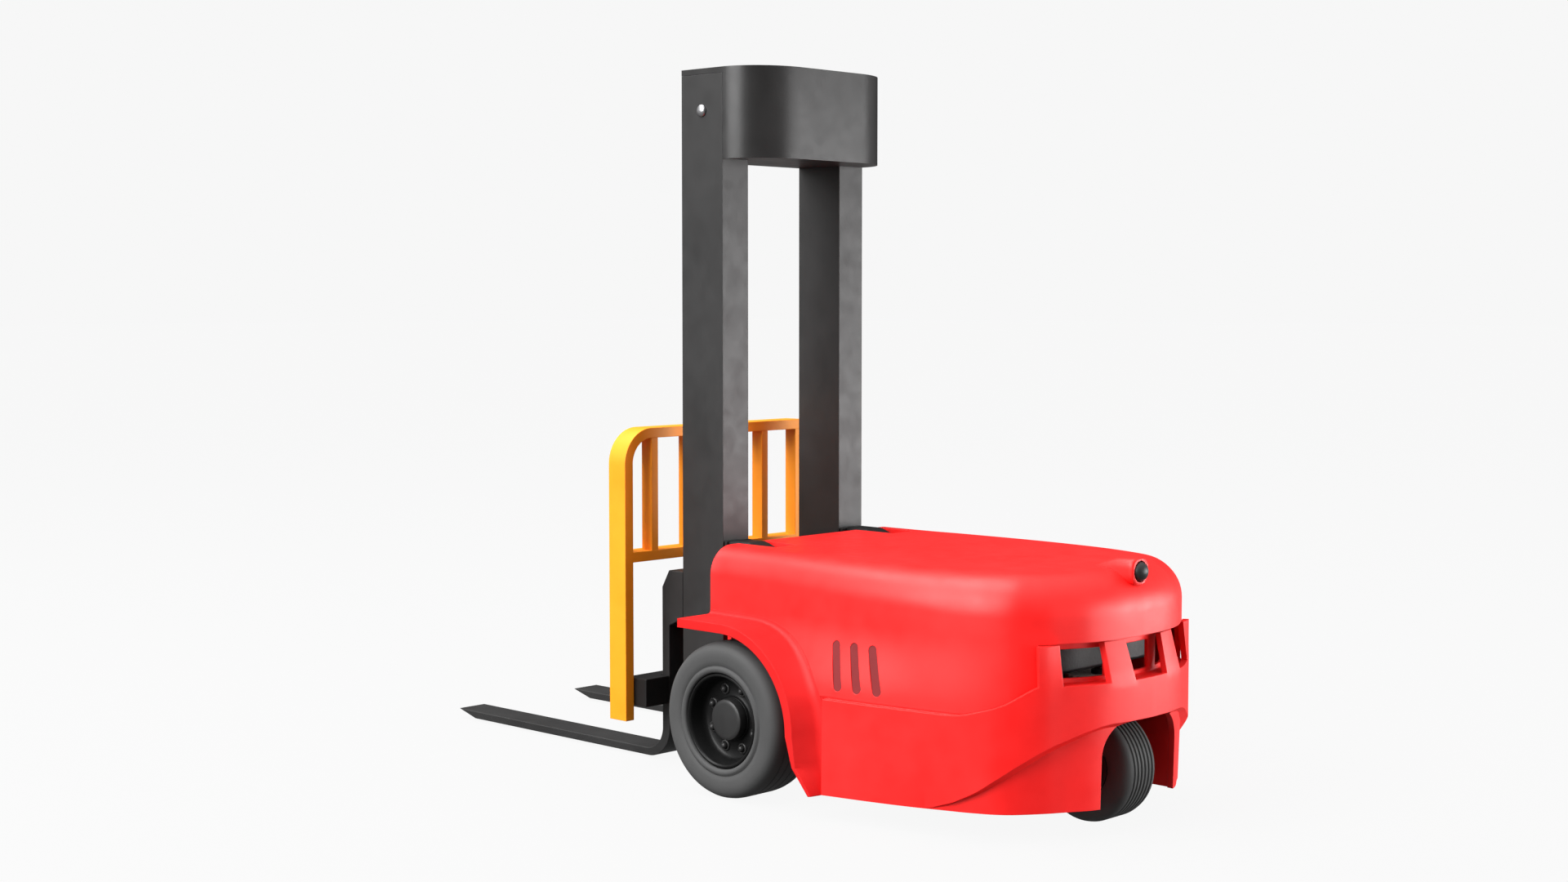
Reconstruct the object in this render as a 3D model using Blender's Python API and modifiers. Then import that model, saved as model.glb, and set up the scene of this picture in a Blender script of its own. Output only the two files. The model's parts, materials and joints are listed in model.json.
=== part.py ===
"""Toy forklift: battery-driven truck with a belt-hoisted carriage, a tilting mast and a steered rear wheel.

Metres, +Z up. The forks point along -Y, the truck's left side is +X, and the origin is on the floor at the
centre of the bounding box. Lengthwise places are given from the front face of the mast by y_at().
"""
import math

import bmesh
import bpy
from mathutils import Matrix, Vector

# Driving dimensions ---------------------------------------------------------------------------------------
GAP = 0.0003                    # assembly gap between touching pieces
MAST_Y = -0.0225                # front face of the mast

COLUMN_OUT = 0.0360             # half width over the mast
COLUMN_IN = 0.0235              # half of the space between the columns
COLUMN_DEPTH = 0.0200
COLUMN_WALL = 0.0016
COLUMN_FOOT = 0.0060
MAST_TOP = 0.2437
CAP_BOTTOM = 0.2125
CAP_REAR = 0.0378
CAP_WALL = 0.0018
CAP_ROOF = 0.0020
CAP_CORNER = (0.0205, 0.0178)   # across and along reach of the cap's elliptical rear corners

SHAFT_Y = 0.0100                # both belt shafts, from the mast face
LIFT_SHAFT_Z = 0.0150           # also the mast's tilt axis
TOP_AXLE_Z = 0.2293
SHAFT_R = 0.0015
PULLEY_X = 0.02975
PULLEY_R = 0.0045
BELT_IN = 0.0048
BELT_OUT = 0.0055
BELT_WIDTH = 0.0030

FORK_TIP = -0.1278
FORK_BEVEL = -0.1177
FORK_LOW = 0.0009
FORK_THICK = 0.0028
SHANK_FRONT = -0.0108
SHANK_REAR = -0.0072
FORK_TOP = 0.0688
GUARD_FRONT = -0.0215
GUARD_REAR = -0.0130
GUARD_OUT = 0.0515
GUARD_BAR = 0.0038
GUARD_LOW = 0.0160
GUARD_TOP = 0.1192
GUARD_MID = 0.0720

WHEEL_Y = 0.0468
WHEEL_R = 0.0260
WHEEL_OUT = 0.0648
WHEEL_IN = 0.0432
AXLE_R = 0.0020
RIM_R = 0.0157

REAR_WHEEL_Y = 0.1520
REAR_WHEEL_R = 0.0176
REAR_HALF_WIDTH = 0.0080

HOOD_FRONT = 0.0272
HOOD_LOW = 0.0385
FLARE_TOP = 0.0620              # above this height the hood's side walls stand upright
HOOD_TOP = 0.0810
HOOD_WALL = 0.0018
REAR_OPENING = 0.0385           # half width of the hood's opening behind the windows
SKIRT_LOW = 0.0086
SKIRT_WALL = 0.0020
FENDER_R = 0.0330               # outer radius of the arch over the front wheel
FENDER_THICK = 0.0030
FENDER_Z = 0.0252               # height of the arch's centre

GEAR_BACKLASH = 0.00016
BUTTON_Z = 0.0802

parts = None
cutters = None
materials = {}


def y_at(distance):
    """Place along the truck, measured rearwards from the front face of the mast."""
    return MAST_Y + distance


def span(side, low, high):
    """The X range from low to high on one side of the truck, in ascending order."""
    return sorted((side * low, side * high))


# Scene and materials --------------------------------------------------------------------------------------
def start_scene():
    global parts, cutters
    for obj in list(bpy.data.objects):
        bpy.data.objects.remove(obj)
    parts = bpy.data.collections.new("toy_forklift")
    cutters = bpy.data.collections.new("cutters")
    bpy.context.scene.collection.children.link(parts)
    bpy.context.scene.collection.children.link(cutters)


def material(name, color, roughness, metallic=0.0):
    if name not in materials:
        made = bpy.data.materials.new(name)
        made.use_nodes = True
        shader = made.node_tree.nodes["Principled BSDF"]
        shader.inputs["Base Color"].default_value = (*color, 1.0)
        shader.inputs["Roughness"].default_value = roughness
        shader.inputs["Metallic"].default_value = metallic
        made.diffuse_color = (*color, 1.0)
        materials[name] = made
    return materials[name]


def red():
    return material("red_plastic", (0.90, 0.035, 0.035), 0.42)


def yellow():
    return material("yellow_plastic", (0.95, 0.52, 0.04), 0.45)


def dark():
    return material("dark_plastic", (0.055, 0.053, 0.053), 0.45)


def black():
    return material("black_plastic", (0.020, 0.019, 0.019), 0.50)


def rubber():
    return material("grey_rubber", (0.110, 0.110, 0.110), 0.75)


def rib_rubber():
    return material("belt_rubber", (0.030, 0.030, 0.030), 0.80)


def steel():
    return material("steel", (0.55, 0.55, 0.56), 0.30, 1.0)


def nylon():
    return material("white_nylon", (0.80, 0.79, 0.74), 0.45)


def motor_steel():
    return material("motor_can", (0.42, 0.42, 0.43), 0.35, 1.0)


def board_green():
    return material("circuit_board", (0.03, 0.16, 0.06), 0.50)


def iron():
    return material("ballast_iron", (0.060, 0.055, 0.055), 0.60, 0.6)


def cell_skin():
    return material("cell_sleeve", (0.10, 0.11, 0.13), 0.35)


# Modelling helpers ----------------------------------------------------------------------------------------
def link(obj, skin):
    (parts if skin else cutters).objects.link(obj)
    if skin:
        obj.data.materials.append(skin)
    else:
        obj.hide_render = True
        obj.display_type = "WIRE"
    return obj


def from_bmesh(name, bm, skin):
    mesh = bpy.data.meshes.new(name)
    bmesh.ops.recalc_face_normals(bm, faces=bm.faces)
    bm.to_mesh(mesh)
    bm.free()
    return link(bpy.data.objects.new(name, mesh), skin)


def smooth(obj, angle=32.0):
    obj.data.shade_smooth()
    obj.data.set_sharp_from_angle(angle=math.radians(angle))
    return obj


def box(name, low, high, skin=None, bevel=0.0):
    """A block between two corners, with its origin at its middle."""
    low, high = Vector(low), Vector(high)
    bm = bmesh.new()
    bmesh.ops.create_cube(bm, size=1.0)
    bmesh.ops.scale(bm, vec=high - low, verts=bm.verts)
    obj = from_bmesh(name, bm, skin)
    obj.location = (low + high) / 2
    if bevel:
        add_bevel(obj, bevel)
    return obj


def add_bevel(obj, width, segments=1, angle=40.0):
    mod = obj.modifiers.new("edges", "BEVEL")
    mod.width = width
    mod.segments = segments
    mod.limit_method = "ANGLE"
    mod.angle_limit = math.radians(angle)
    return obj


AXIS_TURN = {
    "X": Matrix.Rotation(math.radians(90), 4, "Y"),
    "Y": Matrix.Rotation(math.radians(-90), 4, "X"),
    "Z": Matrix.Identity(4),
}


def rod(name, axis, centre, radius, length, skin=None, segments=16):
    """A cylinder along X, Y or Z."""
    bm = bmesh.new()
    bmesh.ops.create_cone(bm, cap_ends=True, segments=segments, radius1=radius, radius2=radius, depth=length)
    bmesh.ops.transform(bm, matrix=AXIS_TURN[axis], verts=bm.verts)
    obj = from_bmesh(name, bm, skin)
    obj.location = centre
    return smooth(obj)


def turned(name, axis, centre, profile, skin=None, steps=32):
    """A turned piece: profile holds (radius, height) points, outer side running top to bottom."""
    mesh = bpy.data.meshes.new(name)
    points = [(radius, 0.0, height) for radius, height in profile]
    edges = [(i, i + 1) for i in range(len(points) - 1)]
    if profile[0][0] > 0.0:
        edges.append((len(points) - 1, 0))
    mesh.from_pydata(points, edges, [])
    obj = link(bpy.data.objects.new(name, mesh), skin)
    screw = obj.modifiers.new("turn", "SCREW")
    screw.axis = "Z"
    screw.steps = steps
    screw.render_steps = steps
    screw.use_merge_vertices = True
    screw.merge_threshold = 0.00002
    screw.use_smooth_shade = True
    obj.matrix_world = Matrix.Translation(centre) @ AXIS_TURN[axis]
    return obj


PLANES = {
    # local X, local Y and local Z (the extrude direction) of each drawing plane
    "XY": ((1, 0, 0), (0, 1, 0), (0, 0, 1)),
    "XZ": ((1, 0, 0), (0, 0, 1), (0, -1, 0)),
    "YZ": ((0, 1, 0), (0, 0, 1), (1, 0, 0)),
}


def plate(name, plane, outlines, low, high, skin=None):
    """A flat outline, with holes if more outlines follow, extruded from low to high across its plane."""
    curve = bpy.data.curves.new(name + "_outline", "CURVE")
    curve.dimensions = "2D"
    curve.fill_mode = "BOTH"
    curve.extrude = abs(high - low) / 2
    for outline in outlines:
        spline = curve.splines.new("POLY")
        spline.points.add(len(outline) - 1)
        for point, (a, b) in zip(spline.points, outline):
            point.co = (a, b, 0.0, 1.0)
        spline.use_cyclic_u = True
    side, up, out = (Vector(v) for v in PLANES[plane])
    sign = -1.0 if plane == "XZ" else 1.0
    turn = Matrix((side, up, out)).transposed().to_4x4()
    temp = bpy.data.objects.new(name + "_outline", curve)
    parts.objects.link(temp)
    temp.matrix_world = Matrix.Translation(out * sign * (low + high) / 2) @ turn
    bpy.context.view_layer.update()
    mesh = bpy.data.meshes.new_from_object(temp.evaluated_get(bpy.context.evaluated_depsgraph_get()))
    place = temp.matrix_world.copy()
    bpy.data.objects.remove(temp)
    bm = bmesh.new()
    bm.from_mesh(mesh)
    bpy.data.meshes.remove(mesh)
    bmesh.ops.remove_doubles(bm, verts=bm.verts, dist=0.00001)
    bmesh.ops.transform(bm, matrix=place, verts=bm.verts)
    return from_bmesh(name, bm, skin)


def boolean(obj, tool, operation):
    mod = obj.modifiers.new(operation.lower() + "_" + tool.name, "BOOLEAN")
    mod.operation = operation
    mod.object = tool
    return obj


def cut(obj, *tools):
    for tool in tools:
        boolean(obj, tool, "DIFFERENCE")
    return obj


def join(obj, *tools):
    for tool in tools:
        boolean(obj, tool, "UNION")
    return obj


def arc(centre, radius, start, end, steps):
    """Points on an arc, from start to end degrees."""
    turns = [math.radians(start + (end - start) * i / steps) for i in range(steps + 1)]
    return [(centre[0] + radius * math.cos(t), centre[1] + radius * math.sin(t)) for t in turns]


def smooth_line(points, steps):
    """Catmull-Rom curve through the points."""
    ends = [points[0]] + list(points) + [points[-1]]
    line = []
    for i in range(1, len(ends) - 2):
        p0, p1, p2, p3 = (Vector(ends[i + k]) for k in (-1, 0, 1, 2))
        for k in range(steps):
            t = k / steps
            line.append(0.5 * ((2 * p1) + (p2 - p0) * t + (2 * p0 - 5 * p1 + 4 * p2 - p3) * t ** 2
                               + (3 * p1 - p0 - 3 * p2 + p3) * t ** 3))
    line.append(Vector(points[-1]))
    return line


def mirrored(half):
    """A whole outline from its +X half, which runs from the centre line back to it."""
    return list(half) + [Vector((-p[0], p[1])) for p in reversed(half[1:-1])]


def loft(name, rings, skin, closed=True, lid=False):
    """Faces between rings of points that correspond one to one; a lid closes the last ring."""
    bm = bmesh.new()
    made = [[bm.verts.new(point) for point in ring] for ring in rings]
    count = len(rings[0])
    for lower, upper in zip(made, made[1:]):
        for i in range(count if closed else count - 1):
            k = (i + 1) % count
            bm.faces.new((lower[i], lower[k], upper[k], upper[i]))
    if lid:
        bm.faces.new(made[-1])
    return from_bmesh(name, bm, skin)


def thicken(obj, depth):
    mod = obj.modifiers.new("wall", "SOLIDIFY")
    mod.thickness = depth
    mod.offset = -1.0
    mod.use_even_offset = True
    return obj


def gear(name, axis, centre, teeth, module, width, bore, skin, phase=0.0):
    """A spur gear with straight-sided teeth that leave backlash, bored for its shaft."""
    pitch = teeth * module / 2
    tip, root = pitch + module * 0.85, pitch - module * 1.05
    step = 2 * math.pi / teeth
    half_pitch = step / 4 - GEAR_BACKLASH / pitch
    outline = []
    for i in range(teeth):
        middle = i * step + math.radians(phase)
        for radius, offset in ((root, -half_pitch * 1.75), (tip, -half_pitch * 0.42),
                               (tip, half_pitch * 0.42), (root, half_pitch * 1.75)):
            angle = middle + offset
            outline.append((radius * math.cos(angle), radius * math.sin(angle)))
    outlines = [outline]
    if bore:
        outlines.append(arc((0, 0), bore, 0, 330, 11))
    obj = plate(name, "XY", outlines, -width / 2, width / 2, skin)
    obj.data.transform(AXIS_TURN[axis])
    obj.location = centre
    return obj


# Truck: chassis and drive ---------------------------------------------------------------------------------
def bores(obj, axis, places):
    """Cuts round holes; each place is (centre, radius, length)."""
    for index, (centre, radius, length) in enumerate(places):
        cut(obj, rod(f"{obj.name}_bore_{index}", axis, centre, radius, length))
    return obj


def make_chassis():
    floor_low, floor_top = 0.0110, 0.0135
    half, wide = 0.0400, 0.0475
    front, rear = HOOD_FRONT + GAP, 0.1298
    door = [(0.0265, y_at(0.0680)), (0.0265, y_at(0.1260)), (-0.0265, y_at(0.1260)), (-0.0265, y_at(0.0680))]
    side = [(half, y_at(front)), (half, y_at(0.0900)), (wide, y_at(0.0960)), (wide, y_at(rear))]
    outline = side + [(-x, y) for x, y in reversed(side)]
    frame = plate("chassis_frame", "XY", [outline, door], floor_low, floor_top, black())
    ear_out, ear_in = 0.0396, COLUMN_OUT + 0.0004
    blocks = [
        ((-half, y_at(front), 0.0125), (half, y_at(0.0300), 0.0380)),
        ((-0.0300, y_at(0.1283), 0.0125), (0.0300, y_at(rear), 0.0430)),
        ((-0.0300, y_at(0.1283), 0.0400), (0.0300, y_at(0.1610), 0.0430)),
        ((-0.0100, y_at(0.0510), 0.0125), (0.0040, y_at(0.0620), 0.0290)),
    ]
    for s in (-1, 1):
        low, high = span(s, 0.0375, half)
        blocks.append(((low, y_at(0.0285), 0.0125), (high, y_at(0.0660), 0.0360)))
        low, high = span(s, ear_in, ear_out)
        blocks.append(((low, y_at(0.0040), 0.0095), (high, y_at(0.0290), 0.0210)))
        low, high = span(s, 0.0090, 0.0120)
        blocks.append(((low, y_at(0.1352), 0.0420), (high, y_at(0.1412), 0.0475)))
    for index, (low, high) in enumerate(blocks):
        join(frame, box(f"chassis_block_{index}", low, high))
    bores(frame, "X", [((0, y_at(SHAFT_Y), LIFT_SHAFT_Z), SHAFT_R + 0.0004, 0.0900),
                       ((0, y_at(WHEEL_Y), WHEEL_R), 0.0033, 0.0900)])
    cut(frame, rod("kingpin_bore", "Z", (0, y_at(REAR_WHEEL_Y), 0.0415), 0.0034, 0.0060))
    return frame


def make_battery():
    low, high = (-0.0315, y_at(0.0660), 0.0138), (0.0315, y_at(0.1280), 0.0330)
    case = box("battery_box", low, high, dark())
    cut(case, box("battery_cavity", (-0.0260, y_at(0.0675), 0.0130), (0.0260, y_at(0.1265), 0.0315)))
    box("battery_door", (-0.0262, y_at(0.0683), 0.0112), (0.0262, y_at(0.1257), 0.0134), black())
    radius, nub = 0.0071, 0.0026
    profile = [(0, 0.0252), (nub, 0.0252), (nub, 0.0240), (radius, 0.0240), (radius, -0.0245), (0, -0.0245)]
    for index in range(4):
        centre = (0, y_at(0.0751 + index * 0.0146), 0.0230)
        turned(f"battery_cell_{index + 1}", "X", centre, profile, cell_skin(), 12)


def make_circuit_board():
    board = box("circuit_board", (-0.0240, y_at(0.0800), 0.0333), (0.0240, y_at(0.1180), 0.0349),
                board_green())
    chips = [((-0.0150, 0.0880), (-0.0050, 0.0960)), ((0.0040, 0.0860), (0.0120, 0.0930)),
             ((-0.0080, 0.1040), (0.0090, 0.1110))]
    for index, ((x0, y0), (x1, y1)) in enumerate(chips):
        join(board, box(f"chip_{index}", (x0, y_at(y0), 0.0345), (x1, y_at(y1), 0.0368)))


def motor(name, axis, centre, radius, length, face):
    """A motor can, bored for its shaft, whose shaft end points along the axis (face 1) or against it (-1)."""
    half, hole, boss = length / 2, 0.0011, radius * 0.4
    profile = [(0, half - 0.0045), (hole, half - 0.0045), (hole, half + 0.0010), (boss, half + 0.0010),
               (boss, half), (radius, half), (radius, -half), (0, -half)]
    if face < 0:
        profile = [(r, -z) for r, z in reversed(profile)]
    return turned(name, axis, centre, profile, motor_steel(), 14)


def pinion(name, axis, centre, teeth, module, width, face, phase):
    """A pinion on its stub of motor shaft."""
    wheel = gear(name, axis, centre, teeth, module, width, 0.0, nylon(), phase)
    away = Vector((0, 0, -face * (width / 2 + 0.0018)))
    away.rotate(AXIS_TURN[axis].to_quaternion())
    return join(wheel, rod(name + "_stub", axis, Vector(centre) + away, 0.00075, 0.0040, None, 12))


def mesh_phases(direction, teeth_a, teeth_b):
    """Phases in degrees so that gear A has a tooth and gear B a gap on the line from A to B."""
    return direction, direction + 180.0 + 180.0 / teeth_b


DRIVE_TEETH, DRIVE_PINION_TEETH, DRIVE_MODULE = 24, 10, 0.0008
LIFT_TEETH, LIFT_PINION_TEETH, LIFT_MODULE = 22, 9, 0.0007
STEER_TEETH, STEER_PINION_TEETH, STEER_MODULE = 24, 10, 0.0008
CENTRE_SLACK = 0.00015


def centre_distance(teeth_a, teeth_b, module):
    return (teeth_a + teeth_b) * module / 2 + CENTRE_SLACK


def make_front_drive():
    centre = Vector((0, y_at(WHEEL_Y), WHEEL_R))
    rod("front_axle", "X", centre, AXLE_R, 2 * 0.0583, steel(), 20)
    for side, s in (("left", 1), ("right", -1)):
        profile = [(0.0042, 0.0009), (0.0042, 0.0), (0.0030, 0.0), (0.0030, -0.0036),
                   (0.0023, -0.0036), (0.0023, 0.0009)]
        if s < 0:
            profile = [(r, -z) for r, z in reversed(profile)]
        turned(f"axle_bush_{side}", "X", centre + Vector((s * 0.0403, 0, 0)), profile, nylon(), 14)
    reach = centre_distance(DRIVE_TEETH, DRIVE_PINION_TEETH, DRIVE_MODULE) / math.sqrt(2)
    angle = math.degrees(math.atan2(1, -1))
    phase_a, phase_b = mesh_phases(angle, DRIVE_TEETH, DRIVE_PINION_TEETH)
    gear("axle_gear", "X", centre + Vector((0.0120, 0, 0)), DRIVE_TEETH, DRIVE_MODULE, 0.0040,
         AXLE_R + 0.0003, nylon(), phase_a)
    above = centre + Vector((0.0120, reach, reach))
    pinion("drive_pinion", "X", above, DRIVE_PINION_TEETH, DRIVE_MODULE, 0.0040, 1, phase_b)
    motor("drive_motor", "X", above - Vector((0.0138, 0, 0)), 0.0060, 0.0200, 1)


# Front and rear wheels ------------------------------------------------------------------------------------
def tyre_profile(radius, half_width, bore, crown, shoulder):
    """Half of the section from the bore's outer edge to the tread, mirrored about the middle."""
    half = [(bore, half_width - 0.0008), (bore + shoulder, half_width), (radius - crown, half_width * 0.98),
            (radius - crown * 0.35, half_width * 0.84), (radius, half_width * 0.58)]
    return half + [(r, -h) for r, h in reversed(half)]


def make_front_wheels():
    middle = (WHEEL_OUT + WHEEL_IN) / 2
    half = (WHEEL_OUT - WHEEL_IN) / 2
    for side, s in (("left", 1), ("right", -1)):
        centre = Vector((s * middle, y_at(WHEEL_Y), WHEEL_R))
        turned(f"front_tyre_{side}", "X", centre, tyre_profile(WHEEL_R, half, RIM_R + GAP, 0.0036, 0.0022),
               rubber(), 36)
        lip, barrel, disc, hub = 0.0096, RIM_R - 0.0014, 0.0035, 0.0060
        bore = AXLE_R + 0.0003
        profile = [(RIM_R, lip), (RIM_R, -lip), (barrel, -lip), (barrel, disc - 0.0030), (hub, disc - 0.0030),
                   (hub, -0.0085), (bore, -0.0085), (bore, disc + 0.0008), (hub, disc + 0.0008),
                   (hub, disc), (barrel, disc), (barrel, lip)]
        if s < 0:
            profile = [(r, -h) for r, h in reversed(profile)]
        rim = turned(f"front_rim_{side}", "X", centre, profile, black(), 24)
        bolts = bmesh.new()
        ring, bolt_r = 0.0103, 0.0011
        for index in range(8):
            angle = 2 * math.pi * (index + 0.5) / 8
            place = Vector((s * (disc + 0.0004), ring * math.sin(angle), ring * math.cos(angle)))
            bmesh.ops.create_cone(bolts, cap_ends=True, segments=6, radius1=bolt_r, radius2=bolt_r,
                                  depth=0.0022, matrix=Matrix.Translation(place) @ AXIS_TURN["X"])
        tool = from_bmesh(f"lug_bolts_{side}", bolts, None)
        tool.location = centre
        join(rim, tool)
        face, base = 0.0078, 0.0047
        profile = [(0, face), (0.0061, face), (0.00685, face - 0.0007), (0.00685, base), (0, base)]
        if s < 0:
            profile = [(r, -h) for r, h in reversed(profile)]
        turned(f"hub_cap_{side}", "X", centre, profile, dark(), 20)


def make_rear_wheel():
    centre = Vector((0, y_at(REAR_WHEEL_Y), REAR_WHEEL_R))
    turned("rear_tyre", "X", centre, tyre_profile(REAR_WHEEL_R, REAR_HALF_WIDTH, 0.0090, 0.0022, 0.0030),
           rubber(), 28)
    face, web = 0.0072, 0.0040
    profile = [(0.0087, face), (0.0087, -face), (0.0076, -face), (0.0064, -web), (0.0034, -web),
               (0.0030, -face), (0.0018, -face), (0.0018, face), (0.0030, face), (0.0034, web),
               (0.0064, web), (0.0076, face)]
    turned("rear_hub", "X", centre, profile, dark(), 18)
    leg_in, leg_out = 0.0104, 0.0132
    yoke = box("steering_yoke", centre + Vector((-leg_out, -0.0060, 0.0191)),
               centre + Vector((leg_out, 0.0060, 0.0219)), black())
    for s in (-1, 1):
        low, high = span(s, leg_in, leg_out)
        join(yoke, box(f"yoke_leg_{s}", centre + Vector((low, -0.0050, -0.0058)),
                       centre + Vector((high, 0.0050, 0.0200))))
    top = 0.0392
    join(yoke, rod("kingpin_lower", "Z", (0, centre.y, top + 0.0016), 0.0030, 0.0052, None, 20))
    join(yoke, rod("kingpin_upper", "Z", (0, centre.y, top + 0.0053), 0.0022, 0.0066, None, 20))
    bores(yoke, "X", [(centre, 0.0018, 0.0400)])
    head, shank, end = 0.0024, 0.0015, 0.0143
    profile = [(0, end), (head, end), (head, end - 0.0008), (shank, end - 0.0008),
               (shank, 0.0008 - end), (head, 0.0008 - end), (head, -end), (0, -end)]
    turned("rear_axle_pin", "X", centre, profile, steel(), 12)
    phase_a, phase_b = mesh_phases(-90.0, STEER_TEETH, STEER_PINION_TEETH)
    height = 0.0450
    gear("steering_gear", "Z", (0, centre.y, height), STEER_TEETH, STEER_MODULE, 0.0030, 0.0025, nylon(),
         phase_a)
    ahead = centre.y - centre_distance(STEER_TEETH, STEER_PINION_TEETH, STEER_MODULE)
    pinion("steering_pinion", "Z", (0, ahead, height), STEER_PINION_TEETH, STEER_MODULE, 0.0030, -1, phase_b)
    can = motor("steering_motor", "Z", (0, ahead, 0.0581), 0.0060, 0.0200, -1)
    tab = box("steering_motor_tab", (-0.0122, ahead - 0.0035, 0.0478), (0.0122, ahead + 0.0035, 0.0492))
    bores(tab, "Z", [((0, ahead, 0.0485), 0.0040, 0.0040)])
    join(can, tab)


# Mast, lift and carriage ----------------------------------------------------------------------------------
def make_columns():
    for side, s in (("left", 1), ("right", -1)):
        wall = COLUMN_WALL
        outline = [(COLUMN_OUT, 0), (COLUMN_OUT, COLUMN_DEPTH), (COLUMN_IN, COLUMN_DEPTH), (COLUMN_IN, 0),
                   (COLUMN_IN + wall, 0), (COLUMN_IN + wall, COLUMN_DEPTH - wall),
                   (COLUMN_OUT - wall, COLUMN_DEPTH - wall), (COLUMN_OUT - wall, 0)]
        outline = [(s * x, y_at(y)) for x, y in outline]
        top = MAST_TOP - CAP_ROOF - GAP
        column = plate(f"mast_column_{side}", "XY", [outline], COLUMN_FOOT, top, dark())
        middle = s * (COLUMN_OUT + COLUMN_IN) / 2
        bores(column, "X", [((middle, y_at(SHAFT_Y), z), SHAFT_R + 0.0004, 0.0200)
                            for z in (LIFT_SHAFT_Z, TOP_AXLE_Z)])


def cap_outline(inset, front):
    """Plan of the cap: square at the mast's front, elliptical at the rear corners."""
    half, rear = COLUMN_OUT - inset, CAP_REAR - inset
    across, along = (reach - inset for reach in CAP_CORNER)
    corner = [(half - across + across * x, rear - along + along * y) for x, y in arc((0, 0), 1.0, 0, 90, 8)]
    right = [(half, front)] + corner
    return [(x, y_at(y)) for x, y in right + [(-x, y) for x, y in reversed(right)]]


def make_cap():
    cap = plate("mast_cap", "XY", [cap_outline(0, 0)], CAP_BOTTOM, MAST_TOP, dark())
    behind, inner_half = COLUMN_DEPTH + GAP, COLUMN_IN - GAP
    floor_top, roof = CAP_BOTTOM + CAP_WALL, MAST_TOP - CAP_ROOF
    for s in (-1, 1):
        low, high = span(s, inner_half, 0.0400)
        cut(cap, box(f"cap_column_space_{s}", (low, y_at(-0.0020), 0.2000), (high, y_at(behind), roof)))
    cut(cap, plate("cap_rear_space", "XY", [cap_outline(CAP_WALL, behind - 0.0010)], floor_top, roof))
    cut(cap, box("cap_middle_space", (CAP_WALL - inner_half, y_at(CAP_WALL), floor_top),
                 (inner_half - CAP_WALL, y_at(behind), roof)))
    bores(cap, "X", [((0, y_at(SHAFT_Y), TOP_AXLE_Z), SHAFT_R + 0.0004, 0.0600)])


def stadium(radius, low, high, steps=10):
    """Outline of a belt run round two pulleys, in (y, z)."""
    middle = y_at(SHAFT_Y)
    return arc((middle, high), radius, 0, 180, steps) + arc((middle, low), radius, 180, 360, steps)


def make_lift():
    shaft_y = y_at(SHAFT_Y)
    housing_half, housing_low, housing_top = COLUMN_IN - GAP, 0.0050, 0.0345
    housing = box("lift_gearbox", (-housing_half, y_at(0.0), housing_low),
                  (housing_half, y_at(COLUMN_DEPTH), housing_top), black())
    wall = 0.0013
    cut(housing, box("gearbox_space", (wall - housing_half, y_at(wall), 0.0),
                     (housing_half - wall, y_at(COLUMN_DEPTH - wall), housing_top - wall)))
    bores(housing, "X", [((0, shaft_y, LIFT_SHAFT_Z), SHAFT_R + 0.0004, 0.0600)])
    rod("lift_shaft", "X", (0, shaft_y, LIFT_SHAFT_Z), SHAFT_R, 2 * 0.0394, steel(), 16)
    phase_a, phase_b = mesh_phases(180.0, LIFT_TEETH, LIFT_PINION_TEETH)
    gear_x = -0.0080
    gear("lift_gear", "X", (gear_x, shaft_y, LIFT_SHAFT_Z), LIFT_TEETH, LIFT_MODULE, 0.0040,
         SHAFT_R + GAP, nylon(), phase_a)
    high = LIFT_SHAFT_Z + centre_distance(LIFT_TEETH, LIFT_PINION_TEETH, LIFT_MODULE)
    pinion("lift_pinion", "X", (gear_x, shaft_y, high), LIFT_PINION_TEETH, LIFT_MODULE, 0.0040, -1, phase_b)
    motor("lift_motor", "X", (gear_x + 0.0138, shaft_y, high), 0.0055, 0.0200, -1)
    head, end, neck = 0.0020, 0.0372, 0.0363
    profile = [(0, end), (head * 0.55, end - 0.0002), (head * 0.9, neck + 0.0004), (head, neck),
               (SHAFT_R, neck)]
    profile += [(r, -h) for r, h in reversed(profile)]
    turned("top_axle", "X", (0, shaft_y, TOP_AXLE_Z), profile, steel(), 14)
    half = 0.0020
    rim = PULLEY_R + 0.0002
    for side, s in (("left", 1), ("right", -1)):
        profile = [(rim, half), (PULLEY_R, half * 0.8), (PULLEY_R, -half * 0.8), (rim, -half),
                   (SHAFT_R + GAP, -half), (SHAFT_R + GAP, half)]
        for level, z in (("lower", LIFT_SHAFT_Z), ("top", TOP_AXLE_Z)):
            turned(f"{level}_pulley_{side}", "X", (s * PULLEY_X, shaft_y, z), profile, nylon(), 14)
        plate(f"lift_belt_{side}", "YZ", [stadium(BELT_OUT, LIFT_SHAFT_Z, TOP_AXLE_Z),
                                          stadium(BELT_IN, LIFT_SHAFT_Z, TOP_AXLE_Z)],
              s * PULLEY_X - BELT_WIDTH / 2, s * PULLEY_X + BELT_WIDTH / 2, rib_rubber())


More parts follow.
